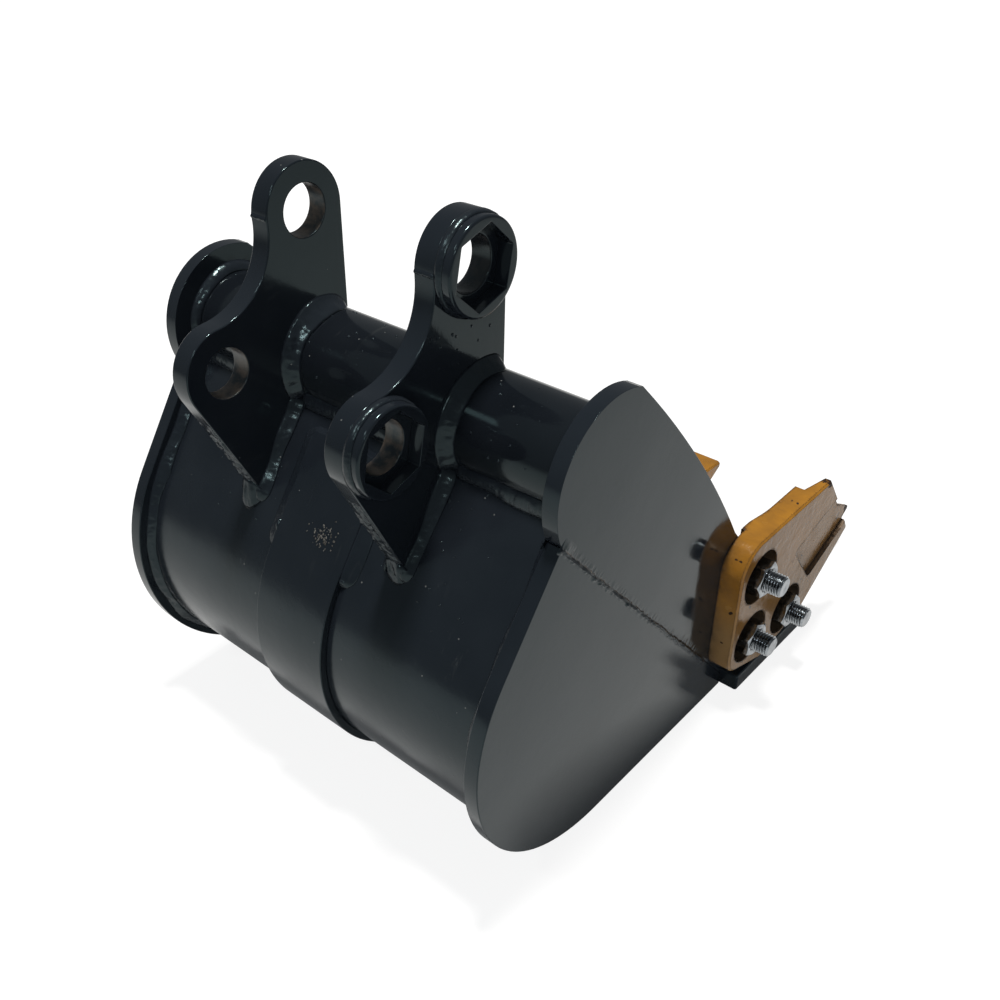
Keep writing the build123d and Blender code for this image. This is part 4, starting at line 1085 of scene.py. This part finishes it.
upper_foot = TUBE + along(seam_angle - math.degrees(TUBE_BEAD / TUBE_RADIUS)) * TUBE_RADIUS
up_the_tube = (upper_foot - TUBE_SEAM).normalized()
middle_seam = seam_path(-EAR_INNER_X + UNDER_EAR, EAR_INNER_X - UNDER_EAR)
side_seam = seam_path(EAR_OUTER_X + UNDER_EAR, PLATE_X - UNDER_RING)
seam_paths = (middle_seam, side_seam, mirrored_path(side_seam))
seam_runs = [(p, (TUBE_BEAD, TUBE_BEAD), SEAM_LOOK) for p in seam_paths]
lay_beads("tube_seam_bead", seam_runs, ["tube_seam_weld"])

# %% [markdown]
# ## Beads along the shell and the lip
# A long bead joins the rolled shell to each side plate, outside and inside. The
# outer bead stops just behind the cutting edge. A bead could be cut from the
# solids by sums and differences of shapes, but it would have no ripples.

# %% Lay the side beads
SIDE_LOOK = dict(bulge=0.04, wander=0.22, lump=0.0006)
OUTER_LEGS = (0.0066, 0.0050)
INNER_LEGS = (0.0042, 0.0042)
BEFORE_LIP = 0.007

ring_low = TUBE_RADIUS + TUBE_BEAD
tube_level = (TUBE - HEEL).dot(FLANK_UP)
outer_level = tube_level - math.sqrt(ring_low ** 2 - flank_behind ** 2)
inner_level = tube_level - ring_low
inside_radius = SHELL_RADIUS - SHELL_THICKNESS
outer_path = belt_path(PLATE_X, SHELL_RADIUS, -RIGHT, outer_level, LIP_LOW.y - BEFORE_LIP)
inner_path = belt_path(PLATE_X, inside_radius, -RIGHT, inner_level, LIP_LOW.y, inward=True)
for name, path, legs, replaced in (
    ("outer_side_beads", outer_path, OUTER_LEGS, "side_seam_welds"),
    ("inner_side_beads", inner_path, INNER_LEGS, "inner_side_welds"),
):
    lay_beads(name, [(p, legs, SIDE_LOOK) for p in (path, mirrored_path(path))], [replaced])

# %% [markdown]
# ## The wear strap
# A strap round the heel takes the wear. Down the flank it has a low, smooth bead
# on both sides, with a nub where the welder stopped, and the two nubs differ.

# %% Lay the beads beside the wear strap
STRAP_RISE = 0.078
STRAP_LEGS = (0.0100, 0.0046)
STRAP_LOOK = dict(bulge=-0.02, ripple=0.00008, wander=0.1, lump=0.0002)
STRAP_PAST_HEEL = 0.002
NUB_LEGS = (0.0065, 0.0058)
NUB_LOOK = dict(bulge=0.2, wander=0.3, lump=0.0012)
RIGHT_NUB, LEFT_NUB = (-9, 8), (-24, 14)

strap_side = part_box("wear_strap")[1].x
strap_foot = HEEL + FLANK_OUT * SHELL_RADIUS + RIGHT * strap_side
strap_path = line_path(
    strap_foot + FLANK_UP * STRAP_RISE, strap_foot - FLANK_UP * STRAP_PAST_HEEL, RIGHT, FLANK_OUT
)
strap_runs = []
# A nub is a short thick run near the foot: its first station from the end, and its count.
for path, (nub_from, nub_count) in ((strap_path, RIGHT_NUB), (mirrored_path(strap_path), LEFT_NUB)):
    strap_runs.append((path, STRAP_LEGS, STRAP_LOOK))
    strap_runs.append((path[nub_from:][:nub_count], NUB_LEGS, NUB_LOOK))
lay_beads("strap_beads", strap_runs, ["strap_welds"])

# %% [markdown]
# ## The cutting edge
# The cutting edge is a thick flat bar. It is welded to the floor across its whole
# width, above and below, and to both side plates. The bead above is as high as
# the floor plate stands over the bar.

# %% Lay the lip beads
UP = Vector((0.0, 0.0, 1.0))
AHEAD = Vector((0.0, 1.0, 0.0))
LIP_LEG = 0.0070
PLATE_LEG = 0.0036
PLATE_FRONT = CUTTER_LOW.y + 0.118

lip_top, lip_rear = LIP_HIGH.z, LIP_LOW.y
floor_top = SHELL_LOW.z + SHELL_THICKNESS


def across_lip(z, way_a, way_b):
    """Across the whole width behind the cutting edge, at one height."""
    return line_path(Vector((-PLATE_X, lip_rear, z)), Vector((PLATE_X, lip_rear, z)), way_a, way_b)


along_plate = line_path(
    Vector((PLATE_X, lip_rear + LIP_LEG, lip_top)), Vector((PLATE_X, PLATE_FRONT, lip_top)), -RIGHT, UP
)
lay_beads("lip_beads", [
    (across_lip(lip_top, AHEAD, UP), (LIP_LEG, floor_top - lip_top), {}),
    (across_lip(SHELL_LOW.z, -AHEAD, -UP), (LIP_LEG, LIP_LEG), {}),
    (along_plate, (PLATE_LEG, PLATE_LEG), {}),
    (mirrored_path(along_plate), (PLATE_LEG, PLATE_LEG), {}),
], ["lip_welds"])

# %% [markdown]
# ## The tooth adapters
# Each adapter is a casting on the bar that holds one tooth point. It has a bead
# along both sides and across its rear, so each gets three straight runs.

# %% Lay the beads round the tooth adapters
ADAPTER_LEGS = (0.0034, 0.0034)
LIP_BARE = 0.010

adapter_runs = []
for name in adapters:
    low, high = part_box(name)
    for edge_x, way in ((low.x, -RIGHT), (high.x, RIGHT)):
        start, end = Vector((edge_x, low.y, lip_top)), Vector((edge_x, LIP_HIGH.y - LIP_BARE, lip_top))
        adapter_runs.append((line_path(start, end, way, UP), ADAPTER_LEGS, {}))
    rear = line_path(Vector((low.x, low.y, lip_top)), Vector((high.x, low.y, lip_top)), -AHEAD, UP)
    adapter_runs.append((rear, ADAPTER_LEGS, {}))
lay_beads("adapter_beads", adapter_runs, ["adapter_welds"])

# %% [markdown]
# ## The butt seam and other rough runs
# Each side is cut from two plates that are butted and welded flat. The bead was
# ground down until its upper part is almost flush, and its lower border still
# shows ragged drops of weld metal. Dirt has gathered in a thin line where the two
# plates meet. The rear rim of each ear carries a rough run of weld as well, and a
# small ridge where the cutting torch started. Each is a fine grid laid on the
# plate and raised by clouds of several sizes. The border of the grid dips just
# under the plate, so that the metal seems to grow out of it.

# %% Lay a rough grid on a plate
GRID = 0.0008
DIP = 0.0002


def rough_run(bm, start, run, across, out, length, edges, height):
    """Grid on a plane. edges(s) gives its two borders, height(s, w, point) its rise."""
    long_count = max(2, round(length / GRID))
    wide_count = max(4, round((edges(0)[1] - edges(0)[0]) / GRID * 1.6))
    rows = []
    for i in range(long_count + 1):
        s = length * i / long_count
        low, high = edges(s)
        row = []
        for j in range(wide_count + 1):
            w = j / wide_count
            point = start + run * s + across * (low + (high - low) * w)
            on_border = i in (0, long_count) or j in (0, wide_count)
            rise = -DIP if on_border else max(-DIP, height(s, w, point))
            row.append(bm.verts.new(point + out * rise))
        rows.append(row)
    for first, second in zip(rows, rows[1:]):
        for j in range(wide_count):
            bm.faces.new((first[j], first[j + 1], second[j + 1], second[j]))


def hump(value, middle, width):
    """A smooth hill: 1 at its middle, and fading to 0 on both sides."""
    return math.exp(-((value - middle) / width) ** 2)


print("grid step", GRID, "m")

# %% [markdown]
# ## The butt seam
# Its place is read from the plain bead in the CAD model. The line of dirt where
# the plates meet has no height, so it is only a finish.

# %% Find the butt seam and mix its dirt
SEAM_LOW, SEAM_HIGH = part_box("plate_seam_welds")
SEAM_START = Vector((0, SEAM_LOW.y + 0.003, SEAM_HIGH.z - 0.002))
SEAM_END = Vector((0, SEAM_HIGH.y - 0.004, SEAM_LOW.z + 0.004))
SEAM_RUN = (SEAM_END - SEAM_START).normalized()
SEAM_UP = SEAM_RUN.cross(RIGHT) * (1 if SEAM_RUN.cross(RIGHT).z > 0 else -1)
JOINT_BELOW = 0.0005
JOINT_RAGGED = 0.0024


def joint_dirt(tree, where):
    """1 along the ragged line where the two plates meet, and 0 beside it."""
    above = put(tree, "ShaderNodeVectorMath", {0: where, 1: tuple(SEAM_UP)}, operation="DOT_PRODUCT")
    ragged = times(tree, noise(tree, where, 300.0, 3.0, 0.6), JOINT_RAGGED)
    level = plus(tree, above.outputs["Value"], ragged)
    off = size_of(tree, calc(tree, "SUBTRACT", level, SEAM_START.dot(SEAM_UP) - JOINT_BELOW))
    patches = spread(tree, noise(tree, where, 95.0, 3.0), 0.42, 0.60, 0.20, 0.85)
    return times(tree, spread(tree, off, 0.0006, 0.0012, 1.0, 0.0), patches)


joint_enamel = black_enamel("black_enamel_on_joint", 800.0, 0.00007, 0.0002, 0.16, dirt=joint_dirt)
print("butt seam length", round((SEAM_END - SEAM_START).length, 4))

# %% Lay the butt seams
def butt_seam(bm, face_x, outward, seed):
    """One ground seam: a ridge and drops low down, strokes of the grinder above."""
    rng = random.Random(seed)
    ragged, crown, patchy = wobble(rng, 7), wobble(rng, 6), wobble(rng, 5)
    seed_shift = rng.uniform(0, 50)

    def edges(s):
        return -0.0040 - 0.0022 * abs(ragged(s * 3.0)), 0.0060 + 0.0010 * crown(s)

    def height(s, w, point):
        above = w - 0.26 - 0.06 * crown(s * 2.0)
        above /= 0.05 if above < 0 else 0.10
        ridge = math.exp(-above ** 2) * (0.0012 + 0.0004 * patchy(s * 1.5) + lumps(point, 0.0050, 0.0005))
        ground = 0.00032 * max(0.0, 1 - w) ** 1.2 * min(1.0, w / 0.22) - 0.00006
        grinder = clouds_3d.noise(Vector((s / 0.0017 - 1.5 * w, w, seed_shift)))
        strokes = 0.00024 * grinder * math.sin(math.pi * w)
        drops = max(0.0, lumps(point, 0.0034, 0.0030) - 0.0010) * hump(w, 0.14, 0.10)
        start_blob = 0.0008 * hump(s, 0.007, 0.006) * hump(w, 0.5, 0.3)
        return ridge + ground + strokes + drops + start_blob

    length = (SEAM_END - SEAM_START).length
    rough_run(bm, SEAM_START + RIGHT * face_x, SEAM_RUN, SEAM_UP, RIGHT * outward, length, edges, height)


seams = bmesh.new()
faces_out = ((PLATE_OUTER_X, 1), (PLATE_X, -1), (-PLATE_OUTER_X, -1), (-PLATE_X, 1))
for number, (face_x, outward) in enumerate(faces_out):
    butt_seam(seams, face_x, outward, f"seam {number}")
seam_piece = finish_piece("butt_seam_beads", seams, joint_enamel)
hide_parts("plate_seam_welds")
print("butt seams: faces", len(seam_piece.data.polygons))

# %% [markdown]
# ## Rims of the ears
# Weld metal was run down the rear rim of each ear and never ground off. The
# cutting torch left its small ridge on the rim of the upper lobe. Both use the
# same grid as the butt seam, laid along the rim.

# %% Roughen the rear rims of the ears
RIM_START_SHARE = 0.22
EAR_MIDDLE_X = (EAR_INNER_X + EAR_OUTER_X) / 2
RIM_HALF = (EAR_OUTER_X - EAR_INNER_X) / 2 - 0.0006


def rim_run(bm, middle_x, seed):
    """Rough weld metal down the lower part of one rear rim."""
    rng = random.Random(seed)
    ragged, patchy = wobble(rng, 6), wobble(rng, 5)
    start = rim_top.lerp(tail_tip, RIM_START_SHARE) + RIGHT * middle_x
    length = (tail_tip - rim_top).length * (1 - RIM_START_SHARE)

    def edges(s):
        return -RIM_HALF + 0.0012 * abs(ragged(s)), RIM_HALF - 0.0012 * abs(ragged(s + 0.3))

    def height(s, w, point):
        cover = min(1.0, s / 0.012) * (0.00045 + 0.00025 * patchy(s))
        runs = 0.0009 * clouds_3d.noise(Vector((w * 5.0, s / 0.016, middle_x * 90)))
        return cover + runs + lumps(point, 0.0050, 0.0007) + lumps(point, 0.0018, 0.00040)

    rough_run(bm, start, -rim_up, RIGHT, rim_out, length, edges, height)


print("rim width", round(2 * RIM_HALF, 4))


# %% Mark where the torch started
TORCH_MARK_ANGLE = 177.0
TORCH_MARK_HALF = 0.0026


def torch_mark(bm, middle_x):
    """Low ridge across the rear rim of the upper lobe."""
    way = along(TORCH_MARK_ANGLE)
    down = way.cross(RIGHT)
    down = down if down.z < 0 else -down
    start = way * LOBE_RADIUS + RIGHT * middle_x - down * TORCH_MARK_HALF

    def edges(s):
        return -RIM_HALF - 0.0002, RIM_HALF + 0.0002

    def height(s, w, point):
        bump = hump(s, 0.0020, 0.0010) - 0.6 * hump(s, 0.0038, 0.0006)
        return bump * (0.0013 + lumps(point, 0.003, 0.0006)) - 0.0001

    rough_run(bm, start, down, RIGHT, way, 2 * TORCH_MARK_HALF, edges, height)


rims = bmesh.new()
for side in (1, -1):
    rim_run(rims, side * EAR_MIDDLE_X, f"rim {side}")
    torch_mark(rims, side * EAR_MIDDLE_X)
rim_piece = finish_piece("ear_rim_welds", rims, weld_enamel)
print("rim runs: faces", len(rim_piece.data.polygons))

# %% [markdown]
# ## Weld spatter
# Welding throws small drops of metal that stick to the plates near a joint. Most
# of them are painted over: on the flank, on the tube and a few below the upper
# boss. One splash on the wear strap is bare. A particle system could strew them,
# but drops that are drawn at random from one seed stay the same in every run.

# %% Shape one drop
DROP_SIDES = 7
DROP_RINGS = ((1.0, -0.3), (0.92, 0.25), (0.55, 0.55))
DROP_TOP = 0.68


def droplet(bm, centre, out, radius, rng):
    """A flattened drop of metal stuck to the plate."""
    side = out.orthogonal().normalized()
    other = out.cross(side)
    stretch = rng.uniform(0.7, 1.4)
    turns = [math.tau * k / DROP_SIDES for k in range(DROP_SIDES)]
    loops = []
    for wide, high in DROP_RINGS:
        reach = radius * wide
        loops.append([
            bm.verts.new(centre + side * (reach * stretch * math.cos(a)) + other * (reach * math.sin(a))
                         + out * (radius * high))
            for a in turns
        ])
    top = bm.verts.new(centre + out * radius * DROP_TOP)
    for k in range(DROP_SIDES):
        after = (k + 1) % DROP_SIDES
        for first, second in zip(loops, loops[1:]):
            bm.faces.new((first[k], first[after], second[after], second[k]))
        bm.faces.new((loops[-1][k], loops[-1][after], top))


print("faces in one drop:", DROP_SIDES * len(DROP_RINGS))

# %% Places for the drops
SPATTER_SIZE = (0.0003, 0.0009)
STRAP_THICKNESS = 0.005
BARE_COUNT, FLANK_COUNT, TUBE_SIDE_COUNT, TUBE_MIDDLE_COUNT, BOSS_COUNT = 80, 110, 45, 35, 9
FLANK_EDGE = 0.145
TUBE_REAR = (70, 220)


def splash(bm, rng):
    """The bare patch on the wear strap."""
    patch = HEEL + FLANK_OUT * (SHELL_RADIUS + STRAP_THICKNESS) + FLANK_UP * 0.020
    for _ in range(BARE_COUNT):
        spot = patch + RIGHT * rng.gauss(0.008, 0.0045) + FLANK_UP * rng.gauss(0.0, 0.0036)
        droplet(bm, spot, FLANK_OUT, rng.uniform(*SPATTER_SIZE) * 0.85, rng)


def spray_flank(bm, rng):
    """Drops on the flank, thickest beside the ears."""
    on_flank = HEEL + FLANK_OUT * SHELL_RADIUS
    for _ in range(FLANK_COUNT):
        side = rng.choice((-1, 1))
        x = side * rng.choice((rng.gauss(EAR_OUTER_X + 0.012, 0.016), rng.uniform(0.034, FLANK_EDGE)))
        level = rng.uniform(0.002, 0.105)
        if abs(x) < FLANK_EDGE:
            droplet(bm, on_flank + RIGHT * x + FLANK_UP * level, FLANK_OUT, rng.uniform(*SPATTER_SIZE), rng)


def spray_tube(bm, rng, count, low_x, high_x, sides=(1,)):
    """Drops on the rear of the tube, from one X to another."""
    for _ in range(count):
        way = along(rng.uniform(*TUBE_REAR))
        side = rng.choice(sides) if len(sides) > 1 else sides[0]
        x = side * rng.uniform(low_x, high_x)
        droplet(bm, TUBE + RIGHT * x + way * TUBE_RADIUS, way, rng.uniform(*SPATTER_SIZE), rng)


def drip_below_boss(bm, rng):
    """A few larger drops on the right ear, below the upper boss."""
    for _ in range(BOSS_COUNT):
        way = along(rng.uniform(225, 300))
        spot = way * rng.uniform(BOSS_RADIUS + 0.003, BOSS_RADIUS + 0.022) + RIGHT * EAR_OUTER_X
        droplet(bm, spot, RIGHT, rng.uniform(0.0005, 0.0011), rng)


print("tries:", BARE_COUNT + FLANK_COUNT + TUBE_SIDE_COUNT + TUBE_MIDDLE_COUNT + BOSS_COUNT)

# %% Scatter weld spatter
spatter_rng = random.Random("spatter")
bare, painted = bmesh.new(), bmesh.new()
splash(bare, spatter_rng)
finish_piece("bare_spatter", bare, spatter_steel)
spray_flank(painted, spatter_rng)
spray_tube(painted, spatter_rng, TUBE_SIDE_COUNT, EAR_OUTER_X + 0.008, PLATE_X - 0.006, sides=(-1, 1))
spray_tube(painted, spatter_rng, TUBE_MIDDLE_COUNT, -EAR_INNER_X + 0.008, EAR_INNER_X - 0.008)
drip_below_boss(painted, spatter_rng)
spatter = finish_piece("weld_spatter", painted, weld_enamel)
print("painted drops:", len(spatter.data.polygons) // (DROP_SIDES * len(DROP_RINGS)))

# %% [markdown]
# ## Bolts, nuts and washers
# Each cutter is held by three M16 bolts with hexagon heads inside the bucket and
# a washer and nut in each pocket outside. A thread is a groove that climbs one
# pitch in a turn. It is made as a grid wrapped round the shank whose radius
# depends on height and angle, so the helix is real and catches the light. The
# nut's corners are cut by a cone, which leaves the curved facets of a real nut.

# %% Skin a stack of rings
TURNS_AROUND = 48
HEX_STEPS = 72


def ring_of(x, radius):
    """A plain round ring."""
    return lambda angle: (x, radius)


def lathe(bm, place_at, rings, steps, close=False):
    """Skin a list of rings. A ring is a function of the angle giving (x, radius)."""
    loops = []
    for ring in rings:
        loop = []
        for i in range(steps):
            angle = math.tau * i / steps
            x, radius = ring(angle)
            point = Vector((x, radius * math.cos(angle), radius * math.sin(angle)))
            loop.append(bm.verts.new(place_at + point))
        loops.append(loop)
    pairs = list(zip(loops, loops[1:])) + ([(loops[-1], loops[0])] if close else [])
    for first, second in pairs:
        for i in range(steps):
            after = (i + 1) % steps
            bm.faces.new((first[i], first[after], second[after], second[i]))
    if not close:
        bm.faces.new(loops[0][::-1])
        bm.faces.new(loops[-1])


print("steps round a thread and a hexagon:", TURNS_AROUND, HEX_STEPS)

# %% Shape the hexagons
BOLT_RADIUS = 0.008
ACROSS_FLATS = 0.024
FACE_SHARE = 0.955
CONE_RISE = math.tan(math.radians(30))
BORE_CHAMFER = 0.0012
PAINT_THIN = 0.00005


def hex_radius(angle, turn):
    """Distance from the middle to the side of the hexagon in a direction."""
    sixth = math.radians(60)
    return ACROSS_FLATS / 2 / math.cos((angle - turn) % sixth - sixth / 2)


def hexagon_body(bm, place_at, turn, low_x, high_x, bore=0.0):
    """Hexagon, its corners cut by a cone. A nut has a bore and is cut at both ends."""
    flat = ACROSS_FLATS / 2 * FACE_SHARE

    def side(x, sense):
        return lambda angle: (
            x - sense * CONE_RISE * (hex_radius(angle, turn) - flat),
            hex_radius(angle, turn) - PAINT_THIN,
        )

    rings = [ring_of(high_x, flat), side(high_x, 1), side(low_x, -1 if bore else 0), ring_of(low_x, flat)]
    if bore:
        mouth = [ring_of(high_x - BORE_CHAMFER, bore), ring_of(high_x, bore + BORE_CHAMFER)]
        rings = mouth + rings + [ring_of(low_x, bore)]
    lathe(bm, place_at, rings, HEX_STEPS, close=bool(bore))


print("nut:", ACROSS_FLATS, "across flats,", round(2 * hex_radius(0.0, 0.0), 4), "across corners")

# %% Cut the threads
THREAD_PITCH = 0.0020
THREAD_DEPTH = 0.0011
ROWS_PER_PITCH = 8
END_CHAMFER = 0.0014
HAIR = 0.00002


def threaded_end(bm, place_at, low_x, high_x, radius):
    """Shank with a helical groove, chamfered at its outer end."""
    rows = round((high_x - low_x) / THREAD_PITCH * ROWS_PER_PITCH)
    length = high_x - low_x

    def ring(row):
        def shape(angle):
            x = length * row / rows
            tooth = abs((x / THREAD_PITCH - angle / math.tau) % 1.0 - 0.5) * 2
            deep = THREAD_DEPTH * min(1.0, max(0.0, 1.25 * tooth - 0.1))
            end_cut = max(0.0, END_CHAMFER - (length - x))
            return low_x + x, radius - max(deep, end_cut) - HAIR
        return shape

    lathe(bm, place_at, [ring(row) for row in range(rows + 1)], TURNS_AROUND)


print("thread pitch", THREAD_PITCH, "depth", THREAD_DEPTH)

# %% [markdown]
# ## Putting them together
# The sizes are read from the CAD solids, and the places from the washers, so the
# detailed fasteners sit exactly where the plain ones do. Every hexagon is turned
# by another angle, because nobody lines nuts up with a spanner. They are built
# for the right side, and mirrored for the left.

# %% Make a washer
WASHER_SLACK = 0.0006
OUTER_ROUND = 0.0005
INNER_ROUND = 0.0003


def reach_of(low, high):
    """The nearest and the farthest a solid gets from the middle of the bucket."""
    return sorted((abs(low.x), abs(high.x)))


def washer(bm, place_at, inner, outer, radius):
    """Flat ring with small round-offs on its rim."""
    hole = BOLT_RADIUS + WASHER_SLACK
    lathe(bm, place_at, [
        ring_of(inner, hole), ring_of(outer, hole),
        ring_of(outer, radius - OUTER_ROUND), ring_of(outer - OUTER_ROUND, radius),
        ring_of(inner + INNER_ROUND, radius), ring_of(inner, radius - INNER_ROUND),
    ], HEX_STEPS, close=True)


print("washer hole", round(2 * (BOLT_RADIUS + WASHER_SLACK), 4))


# %% Build both sets
FIRST_NUT_TURN, NEXT_NUT_TURN = 11, 23
NEXT_HEAD_TURN = 17


def build_fasteners(side):
    """Three bolts, nuts and washers of one cutter, one piece of each kind."""
    bolt_low, bolt_high = reach_of(*islands_of(f"{side}_cutter_bolts")[0])
    nut_low, nut_high = reach_of(*islands_of(f"{side}_cutter_nuts")[0])
    bolts, nuts, washers = bmesh.new(), bmesh.new(), bmesh.new()
    for number, (low, high) in enumerate(islands_of(f"{side}_cutter_washers")):
        centre = Vector((0.0, (low.y + high.y) / 2, (low.z + high.z) / 2))
        washer(washers, centre, *reach_of(low, high), (high.y - low.y) / 2)
        nut_turn = math.radians(FIRST_NUT_TURN + number * NEXT_NUT_TURN)
        hexagon_body(nuts, centre, nut_turn, nut_low, nut_high, BOLT_RADIUS)
        hexagon_body(bolts, centre, math.radians(number * NEXT_HEAD_TURN), PLATE_X, bolt_low)
        shank = BOLT_RADIUS - HAIR
        lathe(bolts, centre, [ring_of(PLATE_X, shank), ring_of(nut_low, shank)], TURNS_AROUND)
        threaded_end(bolts, centre, nut_low, bolt_high, BOLT_RADIUS)
    for kind, bm in (("bolts", bolts), ("nuts", nuts), ("washers", washers)):
        for vert in bm.verts:
            vert.co.x *= 1 if side == "right" else -1
        bmesh.ops.recalc_face_normals(bm, faces=bm.faces)
        plating = dull_zinc if kind == "washers" else zinc
        piece = finish_piece(f"{side}_{kind}_detailed", bm, plating, smooth=False)
        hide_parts(f"{side}_cutter_{kind}")
        print(piece.name, "faces", len(piece.data.polygons))


build_fasteners("right")
build_fasteners("left")

# %% [markdown]
# ## Rounded edges
# Flame-cut plate, castings and ground steel never have a knife edge, and gloss
# paint pulls back from one. A thin bright line along an edge is how an eye tells
# thick plate from card. Blender rounds the edges of the solids without touching
# their meshes: the loose triangles are joined, flat faces become one face, and
# every corner sharper than the limit gets a small radius.

# %% Round the edges of the solids
JOIN_REACH = 0.00002
FLAT_LIMIT = 0.6
EDGE_LIMIT = 32.0
FLAT_WEIGHT = 80


def soften(names, radius, segments=2, merge_flats=True):
    """Join the triangles of CAD solids, round their edges and even the shading."""
    for name in names:
        piece = solids[name]
        joined = piece.modifiers.new("join", "WELD")
        joined.merge_threshold = JOIN_REACH
        if merge_flats:
            flat = piece.modifiers.new("flat", "DECIMATE")
            flat.decimate_type = "DISSOLVE"
            flat.angle_limit = math.radians(FLAT_LIMIT)
        edge = piece.modifiers.new("edge", "BEVEL")
        edge.width = radius
        edge.segments = segments
        edge.limit_method = "ANGLE"
        edge.angle_limit = math.radians(EDGE_LIMIT)
        even = piece.modifiers.new("even", "WEIGHTED_NORMAL")
        even.weight = FLAT_WEIGHT


soften(ears, 0.0009)
soften(side_plates, 0.0007)
soften(["wrapper_shell", "wear_strap"], 0.0007)
soften(["cutting_edge"], 0.0022, segments=3)
soften(bosses, 0.0006, merge_flats=False)
soften(cutters, 0.0008)
soften([*points, *adapters], 0.0006)
print("rounded:", sum(1 for o in solids.values() if o.modifiers))
